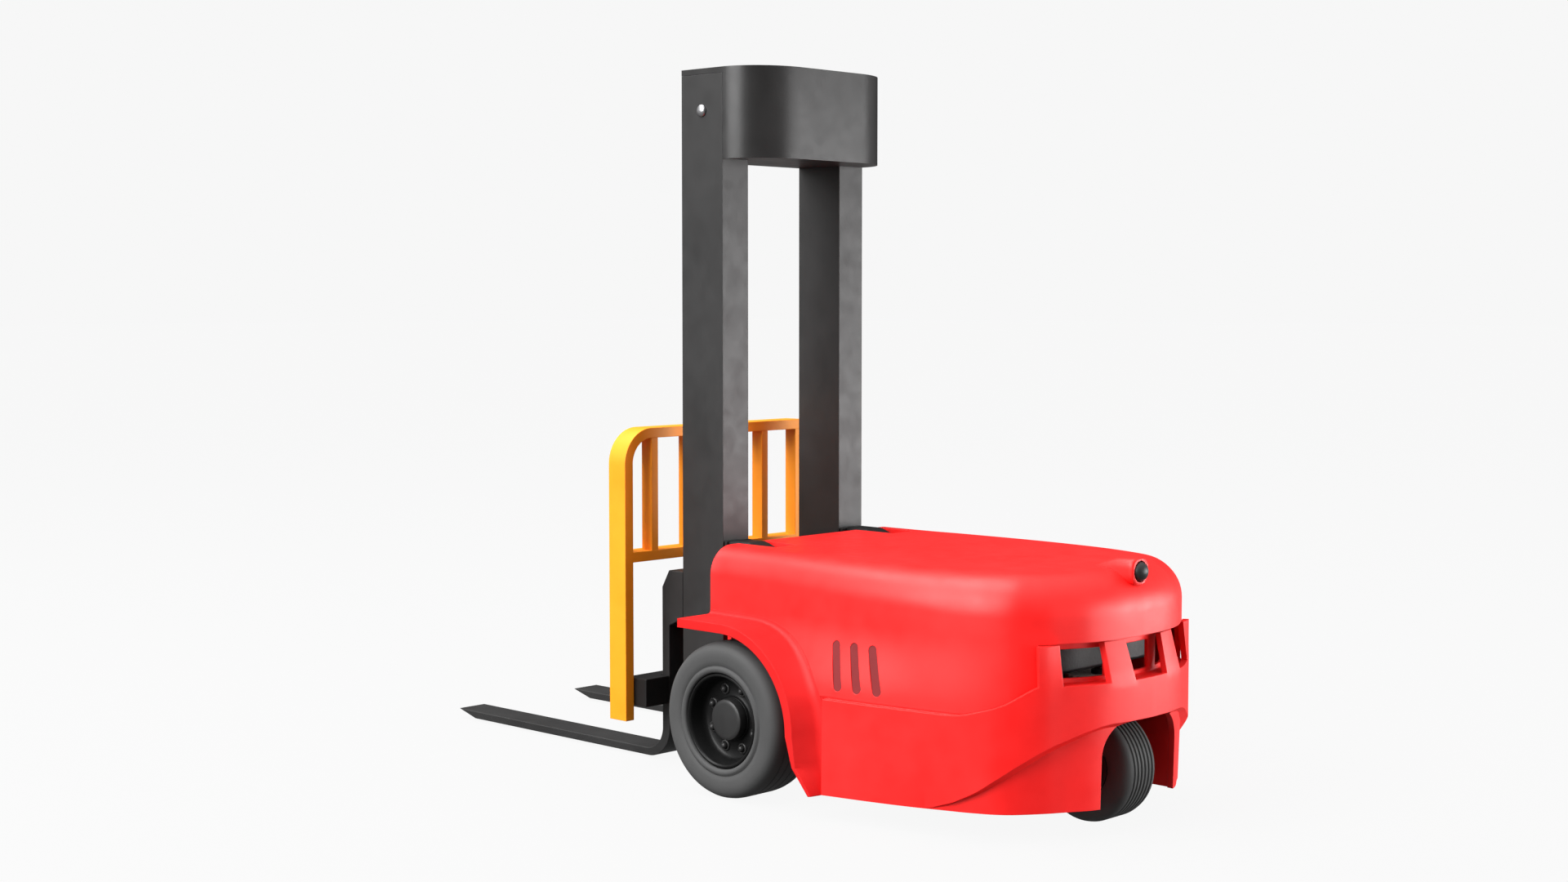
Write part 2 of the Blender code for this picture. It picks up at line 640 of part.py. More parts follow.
def make_tilt_arms():
    """Arms from the mast's rear faces into the hood's slots; they slide back as the mast tilts."""
    arm_in, arm_out = 0.0259, 0.0349
    top = HOOD_TOP + 0.0004
    for side, s in (("left", 1), ("right", -1)):
        outline = [(0.0210, top), (0.0310, top), (0.0660, top - 0.0127), (0.0660, top - 0.0190),
                   (0.0310, 0.0735), (0.0210, 0.0735)]
        low, high = span(s, arm_in, arm_out)
        arm = plate(f"tilt_arm_{side}", "YZ", [[(y_at(y), z) for y, z in outline]], low, high, black())
        add_bevel(arm, 0.0008)
        low, high = span(s, COLUMN_IN + 0.0004, COLUMN_OUT - 0.0004)
        join(arm, box(f"tilt_flange_{side}", (low, y_at(COLUMN_DEPTH + GAP), 0.0660),
                      (high, y_at(COLUMN_DEPTH + 0.0016), top - 0.0003)))
    half = arm_in - GAP
    box("tilt_tie_bar", (-half, y_at(0.0600), 0.0635), (half, y_at(0.0650), 0.0675), black(), 0.0006)


def make_carriage():
    bar_front, bar_rear, bar_half = -0.0170, -0.0070, GUARD_OUT - GUARD_BAR - GAP
    bar = box("carriage_lower_bar", (-bar_half, y_at(bar_front), 0.0212), (bar_half, y_at(bar_rear), 0.0311),
              black())
    for s in (-1, 1):
        low, high = span(s, COLUMN_IN - 0.0004, COLUMN_OUT + GAP)
        cut(bar, box(f"shank_notch_{s}", (low, y_at(SHANK_FRONT - GAP), 0.0150),
                     (high, y_at(0.0), 0.0400)))
    inner = COLUMN_IN - 0.0004
    box("carriage_upper_bar", (-inner, y_at(-0.0090), 0.0540), (inner, y_at(-0.0025), 0.0620), black(),
        0.0005)
    for side, s in (("left", 1), ("right", -1)):
        low, high = span(s, COLUMN_IN - 0.0001, COLUMN_OUT)
        blade_top = FORK_LOW + FORK_THICK
        heel_in, heel_out = 0.0085, 0.0110
        heel = arc((SHANK_FRONT - heel_in, blade_top + heel_in), heel_in, -90, 0, 5)
        back = arc((SHANK_REAR - heel_out, FORK_LOW + heel_out), heel_out, 0, -90, 6)
        outline = [(FORK_TIP, blade_top)] + heel
        outline += [(SHANK_FRONT, 0.0626), (-0.0073, FORK_TOP), (-GAP, FORK_TOP), (-GAP, 0.0522),
                    (SHANK_REAR, 0.0490)] + back + [(FORK_BEVEL, FORK_LOW)]
        plate(f"fork_{side}", "YZ", [[(y_at(y), z) for y, z in outline]], low, high, dark())
        shoe_in, shoe_out = COLUMN_IN + COLUMN_WALL + 0.0004, COLUMN_OUT - COLUMN_WALL - 0.0004
        slot = 0.0019
        outline = [(shoe_in, 0), (shoe_out, 0), (shoe_out, 0.0090), (PULLEY_X + slot, 0.0090),
                   (PULLEY_X + slot, 0.0036), (PULLEY_X - slot, 0.0036), (PULLEY_X - slot, 0.0090),
                   (shoe_in, 0.0090)]
        plate(f"slide_shoe_{side}", "XY", [[(s * x, y_at(y)) for x, y in outline]], 0.0530, 0.0680, nylon())


def rounded_top(half, low, high, radius, steps=6):
    """An outline with a flat foot and two round top corners, in (x, z)."""
    corner = arc((half - radius, high - radius), radius, 0, 90, steps)
    right = [(half, low)] + corner
    return right + [(-x, z) for x, z in reversed(right)]


def make_guard():
    inner = GUARD_OUT - GUARD_BAR
    bar = 0.0036
    outer_radius, inner_radius = 0.0126, 0.0088
    right = [(GUARD_OUT, GUARD_LOW)] + arc((GUARD_OUT - outer_radius, GUARD_TOP - outer_radius),
                                           outer_radius, 0, 90, 7)
    foot = [(inner, GUARD_LOW), (inner, GUARD_MID)]
    outline = right + [(-x, z) for x, z in reversed(right)] + [(-x, z) for x, z in foot]
    outline += list(reversed(foot))
    window = rounded_top(inner, GUARD_MID + bar, GUARD_TOP - bar, inner_radius, 7)
    guard = plate("load_guard", "XZ", [outline, window], y_at(GUARD_FRONT), y_at(GUARD_REAR), yellow())
    for index, middle in enumerate((-0.0371, -0.0190, 0.0, 0.0190, 0.0371)):
        join(guard, box(f"guard_bar_{index}", (middle - 0.0016, y_at(-0.0183), GUARD_MID + bar / 2),
                        (middle + 0.0016, y_at(GUARD_REAR) - 0.00005, GUARD_TOP - bar / 2)))


# Body shells ----------------------------------------------------------------------------------------------
def body_outline(points, steps=2):
    """A closed plan outline from control points on its +X half."""
    return mirrored(smooth_line(points, steps))


HOOD_UPPER = [(0.0, 0.0150), (0.0300, 0.0150), (0.0488, 0.0152), (0.0490, 0.0300), (0.0496, 0.0500),
              (0.0512, 0.0700), (0.0526, 0.0950), (0.0520, 0.1200), (0.0496, 0.1366), (0.0446, 0.1506),
              (0.0380, 0.1578), (0.0315, 0.1620), (0.0228, 0.1662), (0.0120, 0.1687), (0.0, 0.1694)]
HOOD_FLARE = [0.0, 0.0, 0.0, 0.0, 0.0010, 0.0060, 0.0050, 0.0024, 0.0015, 0.0006, 0.0, 0.0, 0.0, 0.0, 0.0]


def hood_solid(name, inset):
    """The hood as a filled body: side walls that flare out low down, and a round edge to the flat top."""
    lower = [(x + flare, y) for (x, y), flare in zip(HOOD_UPPER, HOOD_FLARE)]
    upper_line, lower_line = body_outline(HOOD_UPPER), body_outline(lower)
    count = len(upper_line)
    centre_y = 0.0900
    normals = []
    for i, point in enumerate(upper_line):
        along = upper_line[(i + 1) % count] - upper_line[i - 1]
        normal = Vector((-along.y, along.x)).normalized()
        towards = Vector((0.0, centre_y)) - point
        normals.append(normal if normal.dot(towards) > 0 else -normal)
    bottom = HOOD_LOW if inset == 0 else HOOD_LOW - 0.0085
    flat_top = HOOD_TOP - inset
    rings = []
    for level in (bottom, 0.0480, 0.0550, FLARE_TOP):
        blend = min(1.0, max(0.0, (level - HOOD_LOW) / (FLARE_TOP - HOOD_LOW)))
        blend = blend * blend * (3 - 2 * blend)
        ring = []
        for low, high, normal in zip(lower_line, upper_line, normals):
            point = low.lerp(high, blend) + normal * inset
            ring.append((point.x, y_at(point.y), level))
        rings.append(ring)
    for step in range(6):
        angle = math.radians(90 * step / 5)
        ring = []
        for point, normal in zip(upper_line, normals):
            radius = 0.0097 + 0.0033 * min(1.0, max(0.0, (point.y - 0.0600) / 0.0800)) - inset
            place = point + normal * (inset + radius * (1 - math.cos(angle)))
            ring.append((place.x, y_at(place.y), flat_top - radius * (1 - math.sin(angle))))
        rings.append(ring)
    obj = loft(name, rings, red() if inset == 0 else None, lid=True)
    bm = bmesh.new()
    bm.from_mesh(obj.data)
    open_edges = [edge for edge in bm.edges if edge.is_boundary]
    bmesh.ops.contextual_create(bm, geom=open_edges)
    bmesh.ops.recalc_face_normals(bm, faces=bm.faces)
    bm.to_mesh(obj.data)
    bm.free()
    return obj


def arch_outline(radius, grow):
    """Side view of the space under a fender: flat at the front, round over the wheel."""
    flat = FENDER_Z + radius
    round_part = arc((WHEEL_Y, FENDER_Z), radius, 90, 0, 10)
    points = [(HOOD_FRONT - grow, 0.0), (HOOD_FRONT - grow, flat)] + round_part + [(WHEEL_Y + radius, 0.0)]
    return [(y_at(y), z) for y, z in points]


def vent_outline(middle):
    """One slanted vent slot, a rounded bar that leans forward, in (y, z)."""
    low, high, half, lean = 0.0424, 0.0545, 0.0014, -0.0019
    top = arc((middle + lean, high), half, 0, 180, 4)
    bottom = arc((middle - lean, low), half, 180, 360, 4)
    return [(y_at(y), z) for y, z in top + bottom]


def make_hood():
    hood = hood_solid("hood", 0)
    cut(hood, box("hood_front_cut", (-0.0800, y_at(-0.0100), 0.0), (0.0800, y_at(HOOD_FRONT), 0.1200)))
    inner = hood_solid("hood_inside", HOOD_WALL)
    cut(inner, box("hood_inside_front", (-0.0800, y_at(-0.0100), 0.0),
                   (0.0800, y_at(HOOD_FRONT + HOOD_WALL), 0.1200)))
    boss = turned("button_boss", "Y", (0, y_at(0.1610), BUTTON_Z),
                  [(0, 0.0068), (0.0044, 0.0068), (0.0044, 0.0), (0.0006, -0.0080), (0, -0.0080)], None, 16)
    cut(hood, inner)
    for s in (-1, 1):
        low, high = span(s, 0.0410, 0.0800)
        cut(hood, plate(f"fender_space_{s}", "YZ", [arch_outline(FENDER_R + GAP, 0.0100)], low, high))
        low, high = span(s, 0.0252, 0.0355)
        cut(hood, box(f"arm_slot_{s}", (low, y_at(0.0200), 0.0690), (high, y_at(0.0446), 0.0900)))
        low, high = span(s, 0.0400, 0.0700)
        for index in range(3):
            cut(hood, plate(f"vent_{index}_{s}", "YZ", [vent_outline(0.0908 + 0.0076 * index)], low, high))
    cut(hood, box("rear_window_space", (-REAR_OPENING, y_at(0.1500), 0.0200),
                  (REAR_OPENING, y_at(0.1800), 0.0605)))
    join(hood, boss)
    cut(hood, rod("button_bore", "Y", (0, y_at(0.1660), BUTTON_Z), 0.0034, 0.0100, None, 14))


def make_fenders():
    for side, s in (("left", 1), ("right", -1)):
        inner, outer = FENDER_R - FENDER_THICK, FENDER_R
        block_top = 0.0380
        start = math.degrees(math.asin((block_top - FENDER_Z) / outer))
        outline = [(HOOD_FRONT, FENDER_Z + inner)] + arc((WHEEL_Y, FENDER_Z), inner, 90, 0, 12)
        outline += [(0.0797, 0.0155), (0.0868, 0.0072), (0.0888, 0.0074), (0.0888, block_top)]
        outline += arc((WHEEL_Y, FENDER_Z), outer, start, 90, 10) + [(HOOD_FRONT, FENDER_Z + outer)]
        low, high = span(s, 0.0413, WHEEL_OUT)
        fender = plate(f"fender_{side}", "YZ", [[(y_at(y), z) for y, z in outline]], low, high, red())
        wedge = [(0.0652, 0.0792), (0.0575, 0.0915), (0.0700, 0.0915), (0.0700, 0.0792)]
        cut(fender, plate(f"fender_wedge_{side}", "XY", [[(s * x, y_at(y)) for x, y in wedge]], 0.0, 0.0400))


SKIRT_UPPER = [(0.0608, 0.0893), (0.0590, 0.1050), (0.0568, 0.1200), (0.0542, 0.1366), (0.0515, 0.1446),
               (0.0475, 0.1515), (0.0405, 0.1592), (0.0335, 0.1633), (0.0220, 0.1692), (0.0110, 0.1720),
               (0.0, 0.1728)]
SKIRT_LOWER = [(0.0612, 0.0893), (0.0588, 0.1050), (0.0560, 0.1200), (0.0530, 0.1320), (0.0500, 0.1430),
               (0.0452, 0.1512), (0.0368, 0.1580), (0.0305, 0.1618), (0.0215, 0.1668), (0.0110, 0.1693),
               (0.0, 0.1700)]
SKIRT_TOPS = [0.0382, 0.0382, 0.0382, 0.0384, 0.0400, 0.0425, 0.0479, 0.0479, 0.0479, 0.0479, 0.0479]
STRUT_START = 6                 # control point where the bumper rises into its struts
SILL = 0.0479                   # top of the bumper between the struts
# the bumper's lower edge, in (y, z), from the skirt's foot up to the arch; below it the skirt is recessed
BUMPER_EDGE = [(0.1300, 0.0082), (0.1380, 0.0112), (0.1450, 0.0160), (0.1515, 0.0212), (0.1575, 0.0262),
               (0.1620, 0.0300), (0.1660, 0.0328), (0.1690, 0.0347), (0.1704, 0.0353)]


def bumper_edge(y):
    """Height of the bumper's lower edge at a place along the truck."""
    if y <= BUMPER_EDGE[0][0]:
        return BUMPER_EDGE[0][1]
    for (y0, z0), (y1, z1) in zip(BUMPER_EDGE, BUMPER_EDGE[1:]):
        if y <= y1:
            return z0 + (z1 - z0) * (y - y0) / (y1 - y0)
    return BUMPER_EDGE[-1][1]


def make_skirt():
    steps = 2
    lower = smooth_line(SKIRT_LOWER, steps)
    upper = smooth_line(SKIRT_UPPER, steps)
    tops = [p.y for p in smooth_line([(0.0, z) for z in SKIRT_TOPS], steps)]
    first = STRUT_START * steps
    lean, strut_top = 0.0033, 0.0602
    columns = []
    for i, (low, high, top) in enumerate(zip(lower, upper, tops)):
        share = min(1.0, max(0.0, (i - first) / (2 * steps)))
        inward = Vector((-high.x, (0.1100 - high.y))).normalized() * lean * share
        foot = SKIRT_LOW - 0.0010 * max(0.0, 1 - i / (4 * steps))
        edge = max(foot + 0.0050, bumper_edge(high.y))
        recess = min(1.0, max(0.0, (high.y - 0.1260) / 0.0240))
        rise = (edge - foot) / (top - foot)
        bumper_low = low.lerp(high, recess + (1 - recess) * rise)
        recess_top = low.lerp(high, recess * 0.20 + (1 - recess) * rise)
        column = [(low, foot), (recess_top, edge - 0.0018), (bumper_low, edge), (high, min(top, SILL))]
        if i >= first:
            column.append((high + inward, strut_top))
        columns.append(column)
    whole = [[(p.x, y_at(p.y), z) for p, z in column] for column in columns]
    whole += [[(-x, y, z) for x, y, z in column] for column in reversed(whole[:-1])]
    bm = bmesh.new()
    made = [[bm.verts.new(point) for point in column] for column in whole]
    for left, right in zip(made, made[1:]):
        for k in range(min(len(left), len(right)) - 1):
            bm.faces.new((left[k], right[k], right[k + 1], left[k + 1]))
    skirt = from_bmesh("bumper_skirt", bm, red())
    thicken(skirt, SKIRT_WALL)
    high = 0.0700
    middle = [(0.0085, SILL), (0.0105, high), (-0.0105, high), (-0.0085, SILL)]
    cut(skirt, plate("window_middle", "XZ", [middle], y_at(0.1500), y_at(0.1850)))
    for s in (-1, 1):
        side = [(s * 0.0185, SILL), (s * 0.0178, high), (s * 0.0335, high), (s * 0.0335, SILL)]
        cut(skirt, plate(f"window_side_{s}", "XZ", [side], y_at(0.1500), y_at(0.1850)))
    cut(skirt, plate("rear_arch", "XZ", [rounded_top(0.0198, -0.0100, 0.0353, 0.0108, 5)],
                     y_at(0.1500), y_at(0.1850)))
    for s in (-1, 1):
        low, high = span(s, 0.0199, 0.0217)
        join(skirt, box(f"wheel_well_wall_{s}", (low, y_at(0.1315), SKIRT_LOW + 0.0002),
                        (high, y_at(0.1655), 0.0360)))


def inset_line(points, distance):
    """A line moved sideways, towards the truck's middle."""
    moved = []
    for i, point in enumerate(points):
        along = points[min(i + 1, len(points) - 1)] - points[max(i - 1, 0)]
        normal = Vector((along.y, -along.x)).normalized()
        moved.append(point - normal * distance if normal.dot(point - Vector((0.0, 0.1000))) > 0
                     else point + normal * distance)
    return moved


def make_window_frame():
    """The inner wall behind the struts: a bent band with three windows, on a sill."""
    near = smooth_line(SKIRT_UPPER[STRUT_START:], 2)
    line = near + [Vector((-p.x, p.y)) for p in reversed(near[:-1])]
    face, back, lip = inset_line(line, 0.0070), inset_line(line, 0.0084), inset_line(line, 0.0024)
    band = [(p.x, y_at(p.y)) for p in face + back[::-1]]
    frame = plate("window_frame", "XY", [band], 0.0464, 0.0600, red())
    join(frame, plate("window_sill", "XY", [[(p.x, y_at(p.y)) for p in lip + back[::-1]]], 0.0464, 0.0476))
    for index, (left, right) in enumerate(((-0.0290, -0.0135), (-0.0080, 0.0080), (0.0135, 0.0290))):
        cut(frame, box(f"inner_window_{index}", (left, y_at(0.1400), 0.0490), (right, y_at(0.1800), 0.0580)))
    half = REAR_OPENING - GAP
    keep = box("window_frame_span", (-half, y_at(0.1400), 0.0400), (half, y_at(0.1800), 0.0650))
    boolean(frame, keep, "INTERSECT")


def make_counterweight():
    box("counterweight", (-0.0270, y_at(0.1447), 0.0488), (0.0270, y_at(0.1540), 0.0660), iron(), 0.0010)


def make_button():
    cap = [(0, 0.0088), (0.0011, 0.0086), (0.0021, 0.0080), (0.0028, 0.0071), (0.0031, 0.0060),
           (0.0031, 0.0015), (0.0021, 0.0015), (0.0021, 0.0040), (0, 0.0040)]
    turned("power_button", "Y", (0, y_at(0.1612), BUTTON_Z), cap, dark(), 16)
    coil = bpy.data.curves.new("button_spring_path", "CURVE")
    coil.dimensions = "3D"
    coil.bevel_depth = 0.00020
    coil.bevel_resolution = 0
    coil.use_fill_caps = True
    turns, per_turn, radius, start, length = 3, 10, 0.0016, 0.1613, 0.0032
    spline = coil.splines.new("POLY")
    spline.points.add(turns * per_turn)
    for index, point in enumerate(spline.points):
        angle = 2 * math.pi * index / per_turn
        along = start + length * index / (turns * per_turn)
        point.co = (radius * math.cos(angle), y_at(along), BUTTON_Z + radius * math.sin(angle), 1.0)
    link(bpy.data.objects.new("button_spring", coil), steel())


def main():
    start_scene()
    make_chassis()
    make_battery()
    make_circuit_board()
    make_front_drive()
    make_front_wheels()
    make_rear_wheel()
    make_columns()
    make_cap()
    make_lift()
    make_tilt_arms()
    make_carriage()
    make_guard()
    make_hood()
    make_fenders()
    make_skirt()
    make_window_frame()
    make_counterweight()
    make_button()


main()
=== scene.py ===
import json
import math

import bmesh
import bpy
import numpy as np
from mathutils import Matrix, Vector

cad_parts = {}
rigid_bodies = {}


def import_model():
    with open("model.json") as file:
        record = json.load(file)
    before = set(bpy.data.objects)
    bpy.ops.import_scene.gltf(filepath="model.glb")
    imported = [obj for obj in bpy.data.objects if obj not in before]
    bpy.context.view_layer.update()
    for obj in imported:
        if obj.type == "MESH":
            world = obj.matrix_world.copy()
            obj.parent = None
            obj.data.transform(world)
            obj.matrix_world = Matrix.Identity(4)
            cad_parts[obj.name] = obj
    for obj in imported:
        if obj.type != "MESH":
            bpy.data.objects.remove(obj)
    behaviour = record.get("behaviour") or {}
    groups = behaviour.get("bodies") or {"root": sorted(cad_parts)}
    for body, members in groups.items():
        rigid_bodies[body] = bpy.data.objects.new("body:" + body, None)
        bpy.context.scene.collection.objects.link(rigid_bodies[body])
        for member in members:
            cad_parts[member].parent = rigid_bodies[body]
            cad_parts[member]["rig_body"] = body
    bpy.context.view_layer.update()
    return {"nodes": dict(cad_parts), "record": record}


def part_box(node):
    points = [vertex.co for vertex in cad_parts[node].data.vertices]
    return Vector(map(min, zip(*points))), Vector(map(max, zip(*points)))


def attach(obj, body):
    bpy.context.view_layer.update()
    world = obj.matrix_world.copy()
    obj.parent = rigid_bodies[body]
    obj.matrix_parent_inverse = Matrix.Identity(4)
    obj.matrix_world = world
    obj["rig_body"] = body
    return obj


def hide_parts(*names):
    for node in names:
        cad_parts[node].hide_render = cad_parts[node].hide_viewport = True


# Looks of the toy forklift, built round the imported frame.
# Metres, +Z up, forks along -Y, the truck's left at +X.
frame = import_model()

# Driving dimensions, taken from the frame ------------------------------------------------------------------
MAST_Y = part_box("mast_column_left")[0].y            # front face of the mast
FLOOR_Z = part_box("front_tyre_left")[0].z
WHEEL_LOW, WHEEL_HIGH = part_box("front_tyre_left")
WHEEL_R = (WHEEL_HIGH.z - WHEEL_LOW.z) / 2
WHEEL_OUT, WHEEL_IN = WHEEL_HIGH.x, WHEEL_LOW.x
WHEEL_Y = (WHEEL_LOW.y + WHEEL_HIGH.y) / 2 - MAST_Y
REAR_LOW, REAR_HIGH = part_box("rear_tyre")
REAR_R = (REAR_HIGH.z - REAR_LOW.z) / 2
REAR_Y = (REAR_LOW.y + REAR_HIGH.y) / 2 - MAST_Y
HOOD_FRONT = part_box("hood")[0].y - MAST_Y
HOOD_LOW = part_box("hood")[0].z
HOOD_TOP = 0.0810
HOOD_WALL = 0.0018
SKIRT_FRONT = 0.0893            # where the skirt starts behind the fender
FENDER_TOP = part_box("fender_left")[1].z
FENDER_R = 0.0330
FENDER_THICK = 0.0030
FENDER_GAP = 0.0003             # clearance of the hood over the fender
FENDER_Z = FENDER_TOP - FENDER_R
FENDER_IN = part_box("fender_left")[0].x


def y_at(distance):
    """Place along the truck, measured rearwards from the front face of the mast."""
    return MAST_Y + distance


# Materials -------------------------------------------------------------------------------------------------
class Graph:
    """A material's node tree, with short ways to add and link nodes."""

    def __init__(self, name):
        self.material = bpy.data.materials.new(name)
        self.material.use_nodes = True
        self.tree = self.material.node_tree
        self.shader = self.tree.nodes["Principled BSDF"]
        self.place = self.add("ShaderNodeTexCoord").outputs["Object"]

    def add(self, kind, **values):
        node = self.tree.nodes.new(kind)
        for key, value in values.items():
            setattr(node, key, value)
        return node

    def link(self, source, target):
        self.tree.links.new(source, target)

    def noise(self, scale, detail=3.0, roughness=0.5, stretch=None):
        node = self.add("ShaderNodeTexNoise")
        node.inputs["Scale"].default_value = scale
        node.inputs["Detail"].default_value = detail
        node.inputs["Roughness"].default_value = roughness
        source = self.place
        if stretch:
            mapping = self.add("ShaderNodeMapping")
            mapping.inputs["Scale"].default_value = stretch
            self.link(source, mapping.inputs["Vector"])
            source = mapping.outputs["Vector"]
        self.link(source, node.inputs["Vector"])
        return node.outputs["Fac"]

    def remap(self, source, low, high, start=0.3, end=0.7):
        """Noise centred on 0.5, mapped onto the range low to high."""
        node = self.add("ShaderNodeMapRange")
        node.inputs["From Min"].default_value = start
        node.inputs["From Max"].default_value = end
        node.inputs["To Min"].default_value = low
        node.inputs["To Max"].default_value = high
        self.link(source, node.inputs["Value"])
        return node.outputs["Result"]

    def math(self, operation, first, second):
        node = self.add("ShaderNodeMath", operation=operation)
        for socket, value in zip(node.inputs, (first, second)):
            if isinstance(value, (int, float)):
                socket.default_value = value
            else:
                self.link(value, socket)
        return node.outputs["Value"]

    def blend(self, factor, first, second):
        node = self.add("ShaderNodeMix", data_type="RGBA")
        self.link(factor, node.inputs["Factor"])
        for socket, value in ((node.inputs["A"], first), (node.inputs["B"], second)):
            if isinstance(value, tuple):
                socket.default_value = (*value, 1.0)
            else:
                self.link(value, socket)
        return node.outputs["Result"]


def moulded(name, color, roughness, grain=0.00003, grain_scale=2600.0, specular=0.5, wear_highlight=0.10, edge=0.0003):
    """Moulded plastic or rubber: fine grain, slight flow marks in tint and gloss, and edges painted lighter
    in patches, partly as wear and partly as a painted highlight.
    """
    g = Graph(name)
    deep = tuple(c * 0.90 for c in color)
    pale = tuple(min(1.0, c * 1.04 + 0.004) for c in color)
    # the lighter edge colour: partly wear, partly a painted highlight along the edges
    rubbed_highlight = tuple(min(1.0, c + wear_highlight) for c in color)
    flow = g.remap(g.noise(38.0, 4.0, 0.6), 0.0, 1.0)
    tint = g.blend(flow, deep, pale)
    rounded = g.add("ShaderNodeBevel", samples=4)
    rounded.inputs["Radius"].default_value = edge
    flat = g.add("ShaderNodeNewGeometry")
    facing = g.add("ShaderNodeVectorMath", operation="DOT_PRODUCT")
    g.link(rounded.outputs["Normal"], facing.inputs[0])
    g.link(flat.outputs["Normal"], facing.inputs[1])
    near_edge = g.remap(facing.outputs["Value"], 1.0, 0.0, 0.80, 0.97)
    patchiness = g.remap(g.noise(420.0, 5.0, 0.7), 0.0, 1.0, 0.42, 0.66)
    # lighter patches along edges: partly wear, partly painted highlight
    wear_and_highlight = g.math("MULTIPLY", near_edge, patchiness)
    g.link(g.blend(wear_and_highlight, tint, rubbed_highlight), g.shader.inputs["Base Color"])
    gloss = g.remap(g.noise(150.0, 3.0, 0.55), roughness - 0.05, roughness + 0.05)
    g.link(gloss, g.shader.inputs["Roughness"])
    bump = g.add("ShaderNodeBump")
    bump.inputs["Strength"].default_value = 0.5
    bump.inputs["Distance"].default_value = grain
    g.link(g.noise(grain_scale, 2.0, 0.5), bump.inputs["Height"])
    g.link(rounded.outputs["Normal"], bump.inputs["Normal"])
    g.link(bump.outputs["Normal"], g.shader.inputs["Normal"])
    g.shader.inputs["Specular IOR Level"].default_value = specular
    return g.material


def drawn_steel(name, color, roughness):
    """Bare metal with fine drawing lines along X."""
    g = Graph(name)
    lines = g.noise(3000.0, 3.0, 0.6, stretch=(0.05, 1.0, 1.0))
    tint = g.blend(g.remap(lines, 0.0, 1.0), tuple(c * 0.82 for c in color), color)
    g.link(tint, g.shader.inputs["Base Color"])
    g.link(g.remap(lines, roughness - 0.08, roughness + 0.08), g.shader.inputs["Roughness"])
    bump = g.add("ShaderNodeBump")
    bump.inputs["Strength"].default_value = 0.3
    bump.inputs["Distance"].default_value = 0.00002
    g.link(lines, bump.inputs["Height"])
    g.link(bump.outputs["Normal"], g.shader.inputs["Normal"])
    g.shader.inputs["Metallic"].default_value = 1.0
    return g.material


SKINS = {
    "red_plastic": moulded("red_plastic", (0.94, 0.010, 0.009), 0.44, specular=0.34, wear_highlight=0.03),
    # the fenders' red: the hood's red painted darker and duller, as painted shade
    "fender_shade_red": moulded("fender_shade_red", (0.60, 0.008, 0.008), 0.52, specular=0.17, wear_highlight=0.02),
    # vent strips: a dark red that is painted shade inside the vent slots
    "vent_shade_red": moulded("vent_shade_red", (0.17, 0.008, 0.010), 0.60, specular=0.22, wear_highlight=0.02),
    "yellow_plastic": moulded("yellow_plastic", (0.95, 0.300, 0.006), 0.50, specular=0.30, wear_highlight=0.03),
    "dark_plastic": moulded("dark_plastic", (0.018, 0.0175, 0.0175), 0.42, specular=0.36, wear_highlight=0.03),
    "cap_plastic": moulded("cap_plastic", (0.018, 0.0175, 0.0175), 0.34, specular=0.34, wear_highlight=0.0,
                           edge=0.0001),
    # rims: black plastic painted darker still, as painted shade in the deep wheel bowl
    "rim_black_and_shade": moulded("rim_black_and_shade", (0.004, 0.004, 0.004), 0.36, specular=0.16, wear_highlight=0.02),
    "black_plastic": moulded("black_plastic", (0.007, 0.0065, 0.0065), 0.48, specular=0.25, wear_highlight=0.02),
    "grey_rubber": moulded("grey_rubber", (0.060, 0.060, 0.060), 0.66, grain=0.00006, grain_scale=1500.0,
                           specular=0.20, wear_highlight=0.02),
    "belt_rubber": moulded("belt_rubber", (0.020, 0.020, 0.020), 0.80, grain=0.00008, wear_highlight=0.01),
    "white_nylon": moulded("white_nylon", (0.78, 0.76, 0.70), 0.45, wear_highlight=0.02),
    "circuit_board": moulded("circuit_board", (0.03, 0.16, 0.06), 0.50, wear_highlight=0.02),
    "cell_sleeve": moulded("cell_sleeve", (0.10, 0.11, 0.13), 0.35, wear_highlight=0.05),
    # dark cast iron, painted darker still as painted shade for the inside of the body seen through the
    # bumper's windows
    "ballast_iron": moulded("ballast_iron", (0.012, 0.011, 0.011), 0.60, grain=0.00015, grain_scale=900.0),
    "steel": drawn_steel("steel", (0.44, 0.44, 0.45), 0.34),
    "motor_can": drawn_steel("motor_can", (0.42, 0.42, 0.43), 0.35),
}


def paint(obj, skin):
    obj.data.materials.clear()
    obj.data.materials.append(skin)
    return obj


# Stage -----------------------------------------------------------------------------------------------------
BACKDROP = 0.930                # brightness of the backdrop that the camera sees
FLOOR_SEEN = 0.92               # brightness of the floor that the camera sees
FLOOR_BOUNCE = 0.18             # light that the floor sends back to the object
FLOOR_SHADE = 0.015             # how strongly the floor shows light and shadow
FLOOR_HALF, FLOOR_GAP = 12.0, 0.0002
AMBIENT = 0.58
# soft areas of the studio's walls: azimuth and elevation in degrees, half width where the area starts to fade
# and where it ends, and the light it adds to the ambient
STUDIO_AREAS = [(40.0, 5.0, 10.0, 45.0, -0.55), (223.0, 6.0, 25.0, 60.0, -0.50), (-6.0, 8.0, 5.0, 24.0, 3.00),
                (0.0, 90.0, 10.0, 55.0, 0.70)]


def seen_by_camera(tree):
    """1 for what the camera sees directly and 0 for what only lights the object or mirrors in it."""
    return tree.nodes.new("ShaderNodeLightPath").outputs["Is Camera Ray"]


